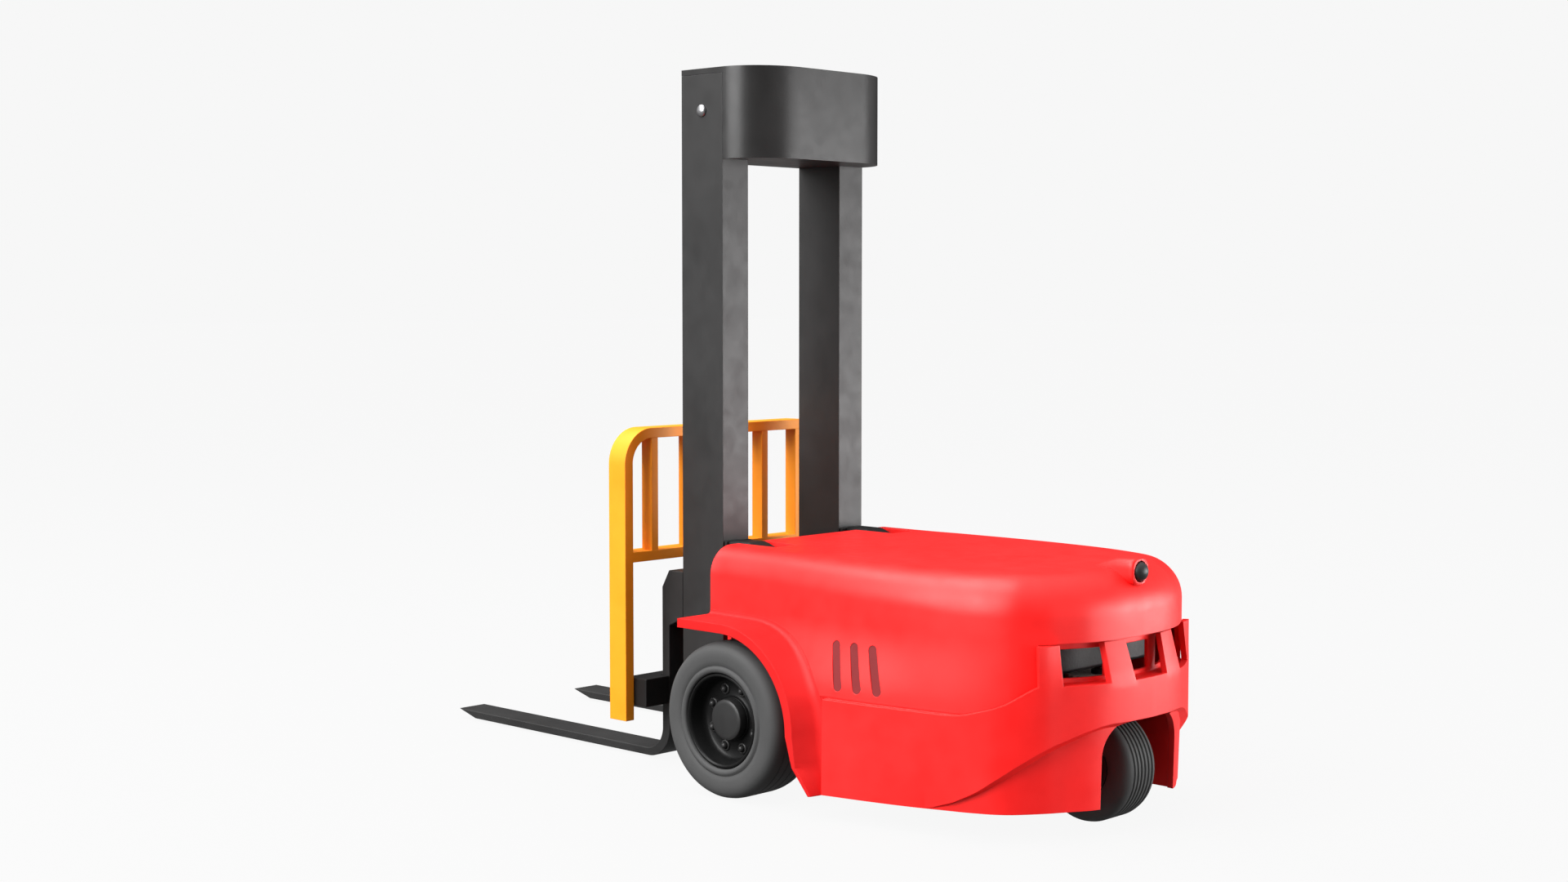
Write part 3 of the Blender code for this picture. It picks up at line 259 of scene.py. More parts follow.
def make_stage():
    mesh = bpy.data.meshes.new("floor")
    bm = bmesh.new()
    bmesh.ops.create_grid(bm, x_segments=4, y_segments=4, size=FLOOR_HALF)
    bm.to_mesh(mesh)
    bm.free()
    floor = bpy.data.objects.new("floor", mesh)
    bpy.context.scene.collection.objects.link(floor)
    floor.location.z = FLOOR_Z - FLOOR_GAP
    g = Graph("floor")
    g.shader.inputs["Base Color"].default_value = (FLOOR_SHADE, FLOOR_SHADE, FLOOR_SHADE, 1.0)
    g.shader.inputs["Roughness"].default_value = 1.0
    g.shader.inputs["Specular IOR Level"].default_value = 0.0
    g.shader.inputs["Emission Color"].default_value = (1.0, 1.0, 1.0, 1.0)
    glow = g.remap(seen_by_camera(g.tree), FLOOR_BOUNCE, FLOOR_SEEN, 0.0, 1.0)
    g.link(glow, g.shader.inputs["Emission Strength"])
    paint(floor, g.material)


def make_world():
    """A plain pale backdrop for the camera, and a studio with lighter and darker walls round the object."""
    world = bpy.data.worlds.new("studio")
    bpy.context.scene.world = world
    world.use_nodes = True
    tree = world.node_tree
    place = tree.nodes.new("ShaderNodeTexCoord").outputs["Generated"]
    total = None
    for azimuth, elevation, core, edge, light in STUDIO_AREAS:
        turn, rise = math.radians(azimuth), math.radians(elevation)
        toward = tree.nodes.new("ShaderNodeVectorMath")
        toward.operation = "DOT_PRODUCT"
        tree.links.new(place, toward.inputs[0])
        toward.inputs[1].default_value = (math.cos(turn) * math.cos(rise), math.sin(turn) * math.cos(rise),
                                          math.sin(rise))
        area = tree.nodes.new("ShaderNodeMapRange")
        area.interpolation_type = "SMOOTHSTEP"
        area.inputs["From Min"].default_value = math.cos(math.radians(edge))
        area.inputs["From Max"].default_value = math.cos(math.radians(core))
        area.inputs["To Min"].default_value = 0.0
        area.inputs["To Max"].default_value = light
        tree.links.new(toward.outputs["Value"], area.inputs["Value"])
        add = tree.nodes.new("ShaderNodeMath")
        add.operation = "ADD"
        add.inputs[1].default_value = AMBIENT
        tree.links.new(area.outputs["Result"], add.inputs[0])
        if total:
            tree.links.new(total, add.inputs[1])
        total = add.outputs["Value"]
    backdrop = tree.nodes.new("ShaderNodeMix")
    tree.links.new(seen_by_camera(tree), backdrop.inputs["Factor"])
    tree.links.new(total, backdrop.inputs["A"])
    backdrop.inputs["B"].default_value = BACKDROP
    tree.links.new(backdrop.outputs["Result"], tree.nodes["Background"].inputs["Strength"])
    tree.nodes["Background"].inputs["Color"].default_value = (1.0, 1.0, 1.0, 1.0)


def area_light(name, place, target, size, watts):
    data = bpy.data.lights.new(name, "AREA")
    data.shape = "RECTANGLE"
    data.size, data.size_y = size
    data.energy = watts
    light = bpy.data.objects.new(name, data)
    bpy.context.scene.collection.objects.link(light)
    light.location = place
    light.rotation_euler = (Vector(target) - Vector(place)).to_track_quat("-Z", "Y").to_euler()
    light.visible_camera = False


def make_lights():
    middle = (0.0, 0.02, 0.08)
    area_light("key", (-0.75, 0.95, 0.18), middle, (1.0, 0.34), 7.5)
    area_light("low", (-0.30, 0.46, 0.04), (0.0, 0.12, 0.03), (0.5, 0.09), 1.5)
    area_light("side", (0.94, -0.17, 0.66), middle, (0.7, 0.7), 17.5)
    area_light("top", (0.25, -0.35, 1.15), middle, (0.8, 0.8), 16.0)


CAMERA_PLACE = (0.56333, 0.52852, 0.16488)
CAMERA_YAW = 43.588             # degrees from +X, seen from the object
CAMERA_PITCH = 3.748            # degrees below level


def make_camera():
    data = bpy.data.cameras.new("camera")
    data.lens = 50.0
    data.sensor_width = 36.0
    data.clip_start = 0.01
    camera = bpy.data.objects.new("camera", data)
    bpy.context.scene.collection.objects.link(camera)
    yaw, pitch = math.radians(CAMERA_YAW), math.radians(CAMERA_PITCH)
    ahead = Vector((-math.cos(yaw) * math.cos(pitch), -math.sin(yaw) * math.cos(pitch), -math.sin(pitch)))
    right = ahead.cross(Vector((0, 0, 1))).normalized()
    turn = Matrix((right, right.cross(ahead), -ahead)).transposed().to_4x4()
    camera.matrix_world = Matrix.Translation(CAMERA_PLACE) @ turn
    bpy.context.scene.camera = camera
    bpy.context.scene.view_settings.view_transform = "Standard"


# Mesh helpers ----------------------------------------------------------------------------------------------
SLOT_OF = {entry["node"]: entry["material_slot"] for entry in frame["record"]["subparts"]}
SIDES = (("left", 1), ("right", -1))
WELD = 0.000002                 # points nearer to each other than this are one point
CAD_WELD = 0.000005
FLAT = math.radians(0.5)        # faces that meet at less than this are one face
SOFT_EDGE, FINE_EDGE = 0.0003, 0.0002       # radius of a moulded edge


def mesh_object(name, points, faces, angle=30.0):
    """A mesh from points and faces: welded, facing outwards, and smooth except at sharp edges."""
    bm = bmesh.new()
    verts = [bm.verts.new(point) for point in points]
    for face in faces:
        bm.faces.new([verts[i] for i in face])
    bmesh.ops.remove_doubles(bm, verts=bm.verts, dist=WELD)
    bmesh.ops.recalc_face_normals(bm, faces=bm.faces)
    return from_bmesh(name, bm, angle)


def from_bmesh(name, bm, angle=30.0):
    mesh = bpy.data.meshes.new(name)
    bm.to_mesh(mesh)
    bm.free()
    mesh.shade_smooth()
    mesh.set_sharp_from_angle(angle=math.radians(angle))
    obj = bpy.data.objects.new(name, mesh)
    bpy.context.scene.collection.objects.link(obj)
    return obj


def quads(rows, columns, wrap_rows=False, wrap_columns=False):
    """Faces of a grid whose points are numbered row by row."""
    faces = []
    for i in range(rows if wrap_rows else rows - 1):
        for k in range(columns if wrap_columns else columns - 1):
            below, beside = (i + 1) % rows, (k + 1) % columns
            row, next_row = i * columns, below * columns
            faces.append((row + k, row + beside, next_row + beside, next_row + k))
    return faces


def tube(name, sections, angle=30.0):
    """A solid through closed sections of equally many points, with flat ends."""
    columns = len(sections[0])
    points = [point for section in sections for point in section]
    faces = quads(len(sections), columns, wrap_columns=True)
    faces.append(tuple(range(columns)))
    faces.append(tuple(range(len(points) - columns, len(points))))
    return mesh_object(name, points, faces, angle)


def turned(name, centre, axis, profile, steps=96, angle=30.0):
    """A turned solid: profile holds (radius, distance along the axis) points round a closed section."""
    along = Vector(axis).normalized()
    side = along.orthogonal().normalized()
    up = along.cross(side)
    points = []
    for step in range(steps):
        turn = 2 * math.pi * step / steps
        out = side * math.cos(turn) + up * math.sin(turn)
        points += [Vector(centre) + out * radius + along * distance for radius, distance in profile]
    return mesh_object(name, points, quads(steps, len(profile), True, True), angle)


PLANES = {
    "XY": ((1, 0, 0), (0, 1, 0), (0, 0, 1)),
    "XZ": ((1, 0, 0), (0, 0, 1), (0, -1, 0)),
    "YZ": ((0, 1, 0), (0, 0, 1), (1, 0, 0)),
}


def prism(name, plane, outlines, low, high, angle=30.0):
    """A flat outline, with holes if more outlines follow, extruded from low to high across its plane."""
    curve = bpy.data.curves.new(name, "CURVE")
    curve.dimensions = "2D"
    curve.fill_mode = "BOTH"
    curve.extrude = abs(high - low) / 2
    for outline in outlines:
        spline = curve.splines.new("POLY")
        spline.points.add(len(outline) - 1)
        for point, (a, b) in zip(spline.points, outline):
            point.co = (a, b, 0.0, 1.0)
        spline.use_cyclic_u = True
    side, up, out = (Vector(v) for v in PLANES[plane])
    across = -out if plane == "XZ" else out
    drawn = bpy.data.objects.new(name, curve)
    bpy.context.scene.collection.objects.link(drawn)
    bpy.context.view_layer.update()
    mesh = bpy.data.meshes.new_from_object(drawn.evaluated_get(bpy.context.evaluated_depsgraph_get()))
    bpy.data.objects.remove(drawn)
    bm = bmesh.new()
    bm.from_mesh(mesh)
    turn = Matrix.Translation(across * (low + high) / 2) @ Matrix((side, up, out)).transposed().to_4x4()
    bmesh.ops.transform(bm, matrix=turn, verts=bm.verts)
    bmesh.ops.remove_doubles(bm, verts=bm.verts, dist=WELD)
    bmesh.ops.dissolve_limit(bm, angle_limit=FLAT, verts=bm.verts, edges=bm.edges)
    bmesh.ops.recalc_face_normals(bm, faces=bm.faces)
    return from_bmesh(name, bm, angle)


def block(name, low, high):
    """A block between two corners, used to cut or add to other pieces."""
    low, high = Vector(low), Vector(high)
    bm = bmesh.new()
    bmesh.ops.create_cube(bm, size=1.0)
    bmesh.ops.scale(bm, vec=high - low, verts=bm.verts)
    bmesh.ops.translate(bm, vec=(low + high) / 2, verts=bm.verts)
    return from_bmesh(name, bm)


def combine(obj, operation, tools, angle=30.0):
    """Cuts tools from obj, or adds them, for good."""
    for tool in tools:
        mod = obj.modifiers.new("boolean", "BOOLEAN")
        mod.operation = operation
        mod.solver = "EXACT"
        mod.object = tool
    return settle(obj, tools, angle)


def settle(obj, tools=(), angle=30.0):
    """Applies obj's modifiers and removes the tools they used."""
    bpy.context.view_layer.update()
    mesh = bpy.data.meshes.new_from_object(obj.evaluated_get(bpy.context.evaluated_depsgraph_get()))
    obj.modifiers.clear()
    obj.data = mesh
    mesh.materials.clear()
    mesh.shade_smooth()
    mesh.set_sharp_from_angle(angle=math.radians(angle))
    for tool in tools:
        bpy.data.objects.remove(tool)
    return obj


def round_edges(obj, width, segments=2, angle=35.0):
    mod = obj.modifiers.new("edges", "BEVEL")
    mod.width = width
    mod.segments = segments
    mod.limit_method = "ANGLE"
    mod.angle_limit = math.radians(angle)
    mod.harden_normals = True
    return obj


def arc(centre, radius, start, end, steps):
    """Points on an arc, from start to end degrees."""
    turns = [math.radians(start + (end - start) * i / steps) for i in range(steps + 1)]
    return [(centre[0] + radius * math.cos(t), centre[1] + radius * math.sin(t)) for t in turns]


def smooth_line(points, steps):
    """Catmull-Rom curve through the points, with this many steps between neighbours."""
    p = np.array([points[0], *points, points[-1]], float)
    line = []
    for i in range(1, len(p) - 2):
        for t in np.arange(steps) / steps:
            line.append(0.5 * (2 * p[i] + (p[i + 1] - p[i - 1]) * t
                               + (2 * p[i - 1] - 5 * p[i] + 4 * p[i + 1] - p[i + 2]) * t ** 2
                               + (3 * p[i] - p[i - 1] - 3 * p[i + 1] + p[i + 2]) * t ** 3))
    return np.array(line + [p[-1]])


def ease(value):
    value = min(1.0, max(0.0, value))
    return value * value * (3 - 2 * value)


def span(side, low, high):
    """The X range from low to high on one side of the truck, in ascending order."""
    return sorted((side * low, side * high))


def place_piece(obj, body, *nodes):
    """Paints a piece like the first node it stands for, hides those nodes and lets it ride on their body."""
    slot = SLOT_OF[nodes[0]]
    paint(obj, SKINS[slot])
    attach(obj, body)
    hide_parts(*nodes)
    return obj


def refined(node, bevel=SOFT_EDGE, segments=2, angle=30.0):
    """A finer copy of a CAD node: corners welded, flat faces merged and edges rounded."""
    source = frame["nodes"][node]
    bm = bmesh.new()
    bm.from_mesh(source.data)
    bmesh.ops.remove_doubles(bm, verts=bm.verts, dist=CAD_WELD)
    bmesh.ops.dissolve_limit(bm, angle_limit=FLAT, verts=bm.verts, edges=bm.edges)
    obj = from_bmesh(node + "_fine", bm, angle)
    round_edges(obj, bevel, segments, angle)
    return place_piece(obj, source["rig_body"], node)


# Hood and fenders ------------------------------------------------------------------------------------------
HOOD_UPPER = [(0.0, 0.0150), (0.0300, 0.0150), (0.0488, 0.0152), (0.0490, 0.0300), (0.0496, 0.0500),
              (0.0512, 0.0700), (0.0526, 0.0950), (0.0520, 0.1200), (0.0496, 0.1366), (0.0446, 0.1506),
              (0.0380, 0.1578), (0.0315, 0.1620), (0.0228, 0.1662), (0.0120, 0.1687), (0.0, 0.1694)]
HOOD_FLARE = [0.0, 0.0, 0.0, 0.0, 0.0010, 0.0060, 0.0050, 0.0024, 0.0015, 0.0006, 0.0, 0.0, 0.0, 0.0, 0.0]
HOOD_STEPS = 8                  # curve steps between neighbours of the hood's outline points
HOOD_MIDDLE = (0.0, 0.0900)
SIDE_POINTS = (2, 9)            # the outline points that bound the side wall
FLARE_TOP = 0.0620
REAR_OPENING = 0.0385
# radius of the edge round the hood's top: at the front, how much it grows, and where and over what length
TOP_EDGE, TOP_EDGE_GROWTH, GROWTH_START, GROWTH_LENGTH = 0.0097, 0.0033, 0.0600, 0.0800
INSIDE_DROP = 0.0085            # how far the inner shape runs below the hood, so that it cuts cleanly


def hood_outlines():
    """The hood's plan outline above the flare, its outline at the foot, and normals that point inwards."""
    upper_half = smooth_line(HOOD_UPPER, HOOD_STEPS)
    foot = [(x + flare, y) for (x, y), flare in zip(HOOD_UPPER, HOOD_FLARE)]
    lower_half = smooth_line(foot, HOOD_STEPS)
    flip = np.array([-1.0, 1.0])
    upper = np.concatenate([upper_half, (upper_half * flip)[-2:0:-1]])
    lower = np.concatenate([lower_half, (lower_half * flip)[-2:0:-1]])
    along = np.roll(upper, -1, axis=0) - np.roll(upper, 1, axis=0)
    normals = np.stack([-along[:, 1], along[:, 0]], axis=1)
    normals /= np.linalg.norm(normals, axis=1)[:, None]
    normals[np.einsum("ij,ij->i", normals, np.array(HOOD_MIDDLE) - upper) < 0] *= -1
    return upper, lower, normals


def hood_solid(name, inset):
    """The hood as a filled body: side walls that flare out low down, and a round edge to the flat top."""
    upper, lower, normals = hood_outlines()
    bottom = HOOD_LOW if inset == 0 else HOOD_LOW - INSIDE_DROP
    sections = []
    for level in [bottom] + list(np.linspace(HOOD_LOW + 0.0030, FLARE_TOP, 9)):
        share = ease((level - HOOD_LOW) / (FLARE_TOP - HOOD_LOW))
        ring = lower + (upper - lower) * share + normals * inset
        sections.append([(x, y_at(y), level) for x, y in ring])
    for turn in np.radians(np.linspace(0, 90, 15)):
        growth = np.clip((upper[:, 1:] - GROWTH_START) / GROWTH_LENGTH, 0.0, 1.0)
        radius = TOP_EDGE + TOP_EDGE_GROWTH * growth - inset
        ring = upper + normals * (inset + radius * (1 - math.cos(turn)))
        heights = HOOD_TOP - inset - radius[:, 0] * (1 - math.sin(turn))
        sections.append([(x, y_at(y), z) for (x, y), z in zip(ring, heights)])
    return tube(name, sections)


def hood_side(y, z):
    """Half width of the hood at a place along the truck and a height on its side wall."""
    side = slice(SIDE_POINTS[0] * HOOD_STEPS, SIDE_POINTS[1] * HOOD_STEPS)
    upper = smooth_line(HOOD_UPPER, HOOD_STEPS)[side]
    flare = smooth_line([(f, p[1]) for f, p in zip(HOOD_FLARE, HOOD_UPPER)], HOOD_STEPS)[side]
    share = ease((z - HOOD_LOW) / (FLARE_TOP - HOOD_LOW))
    reach = np.interp(y, upper[:, 1], upper[:, 0])
    return float(reach + np.interp(y, flare[:, 1], flare[:, 0]) * (1 - share))


VENT_LOW, VENT_HIGH, VENT_HALF, VENT_LEAN = 0.0424, 0.0545, 0.0017, 0.0019
VENT_PLACES = [0.0908 + 0.0076 * i for i in range(3)]
VENT_SINK, VENT_STRIP_THICK = 0.00010, 0.0007    # how deep the painted-shade strip lies, and its thickness
VENT_OVERLAP = 0.0001


def vent_outline(middle, grow=0.0):
    """One slanted vent slot, a rounded bar that leans forward, in (y, z)."""
    top = arc((middle - VENT_LEAN, VENT_HIGH), VENT_HALF + grow, 0, 180, 12)
    bottom = arc((middle + VENT_LEAN, VENT_LOW), VENT_HALF + grow, 180, 360, 12)
    return [(y_at(y), z) for y, z in top + bottom]


def arch_outline(radius):
    """Side view of the space under a fender: flat at the front, round over the wheel."""
    front, flat = HOOD_FRONT - 0.0100, FENDER_Z + radius
    points = [(front, 0.0), (front, flat)]
    points += arc((WHEEL_Y, FENDER_Z), radius, 90, 0, 32) + [(WHEEL_Y + radius, 0.0)]
    return [(y_at(y), z) for y, z in points]


def make_hood():
    hood = hood_solid("hood_shell", 0.0)
    inside = hood_solid("hood_inside", HOOD_WALL)
    wide, tall, ahead = 0.0800, 0.1200, -0.0100
    front = block("inside_front", (-wide, y_at(ahead), 0.0), (wide, y_at(HOOD_FRONT + HOOD_WALL), tall))
    combine(inside, "DIFFERENCE", [front])
    tools = [inside, block("hood_front", (-wide, y_at(ahead), 0.0), (wide, y_at(HOOD_FRONT), tall)),
             block("rear_opening", (-REAR_OPENING, y_at(0.1500), 0.0200),
                   (REAR_OPENING, y_at(0.1800), 0.0605))]
    for side, s in SIDES:
        space = arch_outline(FENDER_R + FENDER_GAP)
        tools.append(prism("fender_space", "YZ", [space], *span(s, 0.0410, wide)))
        low, high = span(s, 0.0252, 0.0355)
        tools.append(block("arm_slot", (low, y_at(0.0200), 0.0690), (high, y_at(0.0446), 0.0900)))
        for middle in VENT_PLACES:
            tools.append(prism("vent", "YZ", [vent_outline(middle)], *span(s, 0.0400, 0.0700)))
    combine(hood, "DIFFERENCE", tools)
    round_edges(hood, SOFT_EDGE, 2, 40.0)
    place_piece(hood, "truck", "hood")


def make_vent_shade_strips():
    """Dark red strips set a little below the hood's surface in its vent slots, as painted shade inside the
    slots.
    """
    for side, s in SIDES:
        for index, middle in enumerate(VENT_PLACES):
            outline = vent_outline(middle, VENT_OVERLAP)
            faces = []
            for depth in (VENT_SINK, VENT_SINK + VENT_STRIP_THICK):
                faces.append([(s * (hood_side(y - MAST_Y, z) - depth), y, z) for y, z in outline])
            strip = tube(f"vent_shade_strip_{side}_{index + 1}", faces)
            # the strip's dark red is painted shade in the vent slot
            paint(strip, SKINS["vent_shade_red"])
            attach(strip, "truck")


# the rim's outer and inner edges below the wheel's centre, in (y, z)
OUTER_TIP = [(0.0812, 0.0155), (0.0880, 0.0074)]
INNER_TIP = [(0.0797, 0.0155), (0.0868, 0.0072)]
FENDER_RISE = 0.0064            # how far the slope from rim to hood climbs, at the rear
FENDER_FILLET, FILLET_GROWTH = 0.0015, 0.0010
BEHIND_SKIRT = 0.0005           # how far the fender may reach behind the skirt's front edge
WALL_OVERLAP = 0.00005


def fender_stations():
    """The rim's path, front to tip: outer corner, inner corner and outward direction, in (y, z)."""
    outer_r, inner_r = FENDER_R, FENDER_R - FENDER_THICK
    stations = []
    for y in np.linspace(HOOD_FRONT, WHEEL_Y, 7)[:-1]:
        stations.append(((y, FENDER_Z + outer_r), (y, FENDER_Z + inner_r), (0.0, 1.0)))
    for turn in np.radians(np.linspace(90, 0, 37)):
        out = (math.cos(turn), math.sin(turn))
        outer = (WHEEL_Y + outer_r * out[0], FENDER_Z + outer_r * out[1])
        inner = (WHEEL_Y + inner_r * out[0], FENDER_Z + inner_r * out[1])
        stations.append((outer, inner, out))
    outer_line = [(WHEEL_Y + outer_r, FENDER_Z)] + OUTER_TIP
    inner_line = [(WHEEL_Y + inner_r, FENDER_Z)] + INNER_TIP
    for start in (0, 1):
        for t in np.linspace(0, 1, 6)[1:]:
            outer = np.array(outer_line[start]) * (1 - t) + np.array(outer_line[start + 1]) * t
            inner = np.array(inner_line[start]) * (1 - t) + np.array(inner_line[start + 1]) * t
            stations.append((tuple(outer), tuple(inner), (1.0, 0.0)))
    return stations


def make_fenders():
    """Fenders that flow into the hood's side in a hollow curve and close the gap to the skirt behind them."""
    for side, s in SIDES:
        sections = []
        for outer, inner, out in fender_stations():
            rear = 1.0 - ease(math.degrees(math.atan2(out[1], out[0])) / 90.0)
            fillet = FENDER_FILLET + FILLET_GROWTH * rear
            rise = FENDER_RISE * rear
            room = (SKIRT_FRONT + BEHIND_SKIRT - outer[0]) / max(out[0], 0.001)
            shrink = min(1.0, room / (rise + fillet))
            rise, fillet = rise * shrink, fillet * shrink
            end_y, end_z = outer[0] + out[0] * (rise + fillet), outer[1] + out[1] * (rise + fillet)
            wall = hood_side(end_y, max(end_z, HOOD_LOW)) + WALL_OVERLAP
            start, corner = Vector((WHEEL_OUT, 0.0)), Vector((wall, rise))
            first = corner + (start - corner).normalized() * min(fillet, (start - corner).length * 0.8)
            end = Vector((wall, rise + fillet))
            curve = [start, start.lerp(first, 0.5)]
            for t in np.linspace(0.0, 1.0, 10):
                curve.append(first * (1 - t) ** 2 + corner * 2 * t * (1 - t) + end * t * t)
            curve.append(end + Vector((-0.0003, 0.0002)))
            web = room if outer[1] < HOOD_LOW and out[0] > 0.5 else end.y
            curve.append(Vector((wall - 0.0006, max(web, end.y) + 0.0004)))
            section = [(s * FENDER_IN, y_at(inner[0]), inner[1]), (s * WHEEL_OUT, y_at(inner[0]), inner[1])]
            section += [(s * x, y_at(outer[0] + out[0] * r), outer[1] + out[1] * r) for x, r in curve]
            sections.append(section)
        fender = tube(f"fender_shell_{side}", sections, 24.0)
        place_piece(fender, "truck", f"fender_{side}")
        # the fender takes the darker red of painted shade instead of the hood's red
        paint(fender, SKINS["fender_shade_red"])


# Bumper skirt ----------------------------------------------------------------------------------------------
SKIRT_UPPER = [(0.0608, SKIRT_FRONT), (0.0590, 0.1050), (0.0568, 0.1200), (0.0542, 0.1366), (0.0515, 0.1446),
               (0.0475, 0.1515), (0.0405, 0.1592), (0.0335, 0.1633), (0.0220, 0.1692), (0.0110, 0.1720),
               (0.0, 0.1728)]
SKIRT_LOWER = [(0.0612, SKIRT_FRONT), (0.0588, 0.1050), (0.0560, 0.1200), (0.0530, 0.1320), (0.0500, 0.1430),
               (0.0452, 0.1512), (0.0368, 0.1580), (0.0305, 0.1618), (0.0215, 0.1668), (0.0110, 0.1693),
               (0.0, 0.1700)]
SKIRT_TOPS = [0.0382, 0.0382, 0.0382, 0.0384, 0.0400, 0.0425, 0.0479, 0.0479, 0.0479, 0.0479, 0.0479]
SKIRT_LOW = 0.0086
SKIRT_WALL = 0.0020
SILL = 0.0479
SKIRT_STEPS = 6                 # curve steps between neighbours of the skirt's outline points
LIP_END = 3                     # outline point where the strips under the hood's sides end
STRUT_START = 6                 # outline point where the bumper rises into its struts
STRUT_TOP = 0.0602
STRUT_LEAN = 0.0033
ARCH_TOP = 0.0353
RECESS_START, RECESS_LENGTH = 0.1260, 0.0240    # where the foot sinks behind the bumper's face
LEDGE = 0.0014                  # height of the ledge under the bumper's lower edge
FOOT_HEIGHT, FOOT_LEAN = 0.0260, 0.25           # height of the foot, and its share of the bumper's lean
# the bumper's lower edge, from where it leaves the skirt's foot up to the wheel arch, in (y, z)
BUMPER_EDGE = [(0.1300, 0.0082), (0.1380, 0.0112), (0.1450, 0.0160), (0.1515, 0.0212), (0.1575, 0.0262),
               (0.1620, 0.0300), (0.1660, 0.0328), (0.1690, 0.0347), (0.1704, ARCH_TOP)]


def skirt_column(low, high, top, foot):
    """Points up one station of the skirt: recessed foot, ledge under the edge, then the bumper's face."""
    edge_line = np.array(BUMPER_EDGE)
    edge = max(foot + 0.0003, float(np.interp(high[1], edge_line[:, 0], edge_line[:, 1])))
    recess = ease((high[1] - RECESS_START) / RECESS_LENGTH)
    base = low + (high - low) * recess
    room = edge - foot
    ledge = min(LEDGE, room * 0.5)
    column = []
    for t in np.linspace(0.0, 1.0, 6):
        z = foot + (room - ledge) * t
        column.append((*(low + (high - low) * FOOT_LEAN * (z - foot) / FOOT_HEIGHT), z))
    for t in np.linspace(0.0, 1.0, 6):
        z = edge + (top - edge) * t
        column.append((*(base + (high - base) * (z - foot) / (top - foot)), z))
    return column


def make_skirt():
    """The skirt with its bumper and struts, and the linings of the rear wheel's well."""
    steps = SKIRT_STEPS
    lower, upper = smooth_line(SKIRT_LOWER, steps), smooth_line(SKIRT_UPPER, steps)
    tops = smooth_line([(0.0, z) for z in SKIRT_TOPS], steps)[:, 1]
    first = STRUT_START * steps
    columns, struts = [], []
    for i, (low, high, top) in enumerate(zip(lower, upper, tops)):
        foot = SKIRT_LOW - 0.0010 * max(0.0, 1 - i / (4 * steps))
        columns.append(skirt_column(low, high, min(top, SILL), foot))
        if i >= first:
            share = min(1.0, (i - first) / (2 * steps))
            inward = np.array([-high[0], 0.1100 - high[1]])
            inward *= STRUT_LEAN * share / np.linalg.norm(inward)
            tall = STRUT_TOP - SILL
            struts.append([(*(high + inward * t), SILL + tall * t) for t in (1 / 3, 2 / 3, 1.0)])
    whole = columns + [[(-x, y, z) for x, y, z in column] for column in reversed(columns[:-1])]
    rise = struts + [[(-x, y, z) for x, y, z in column] for column in reversed(struts[:-1])]
    joined = [whole[first + i][-1:] + column for i, column in enumerate(rise)]
    points = [(x, y_at(y), z) for column in whole + joined for x, y, z in column]
    faces = quads(len(whole), len(whole[0]))
    offset = len(whole) * len(whole[0])
    faces += [tuple(offset + i for i in face) for face in quads(len(joined), len(joined[0]))]
    skirt = mesh_object("bumper_shell", points, faces)
    wall = skirt.modifiers.new("wall", "SOLIDIFY")
    wall.thickness = SKIRT_WALL
    wall.offset = -1.0
    wall.use_even_offset = True
    settle(skirt)
    low, high = y_at(0.1500), y_at(0.1850)
    window_top = 0.0700
    middle = [(0.0085, SILL), (0.0105, window_top), (-0.0105, window_top), (-0.0085, SILL)]
    tools = [prism("window_middle", "XZ", [middle], low, high)]
    for side, s in SIDES:
        outline = [(s * 0.0185, SILL), (s * 0.0178, window_top), (s * 0.0335, window_top), (s * 0.0335, SILL)]
        tools.append(prism("window", "XZ", [outline], low, high))
    half, radius = 0.0198, 0.0108
    right = [(half, -0.0100)] + arc((half - radius, ARCH_TOP - radius), radius, 0, 90, 20)
    tools.append(prism("rear_arch", "XZ", [right + [(-x, z) for x, z in reversed(right)]], low, high))
    combine(skirt, "DIFFERENCE", tools)
    round_edges(skirt, FINE_EDGE, 2, 40.0)
    place_piece(skirt, "truck", "bumper_skirt")
    make_lips(upper[:LIP_END * steps + 1])
    for side, s in SIDES:
        inner, outer = span(s, 0.0199, 0.0217)
        bottom, top = SKIRT_LOW + 0.0002, 0.0360
        well = block(f"wheel_well_{side}", (inner, y_at(0.1315), bottom), (outer, y_at(0.1655), top))
        round_edges(well, SOFT_EDGE)
        paint(well, SKINS["red_plastic"])
        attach(well, "truck")


def make_lips(line):
    """Strips that close the joint between the bumper's top edge and the foot of the hood's sides."""
    low, high, lap = HOOD_LOW - 0.0012, HOOD_LOW - WALL_OVERLAP, 0.0010
    for side, s in SIDES:
        sections = []
        for x, y in line:
            outer, inner = x - SKIRT_WALL / 2, hood_side(y, HOOD_LOW) - lap
            sections.append([(s * outer, y_at(y), high), (s * inner, y_at(y), high),
                             (s * inner, y_at(y), low), (s * outer, y_at(y), low)])
        lip = tube(f"bumper_lip_{side}", sections)
        paint(lip, SKINS["red_plastic"])
        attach(lip, "truck")


# Wheels ----------------------------------------------------------------------------------------------------
def grooved(profile_radius, places, width, depth):
    """Tread points across a tyre with round-bottomed grooves at these places, running from + to -."""
    points = []
    for place in sorted(places, reverse=True):
        for t, sink in ((0.5, 0.0), (0.3, 0.75), (0.0, 1.0), (-0.3, 0.75), (-0.5, 0.0)):
            points.append((profile_radius - depth * sink, place + width * t))
    return points


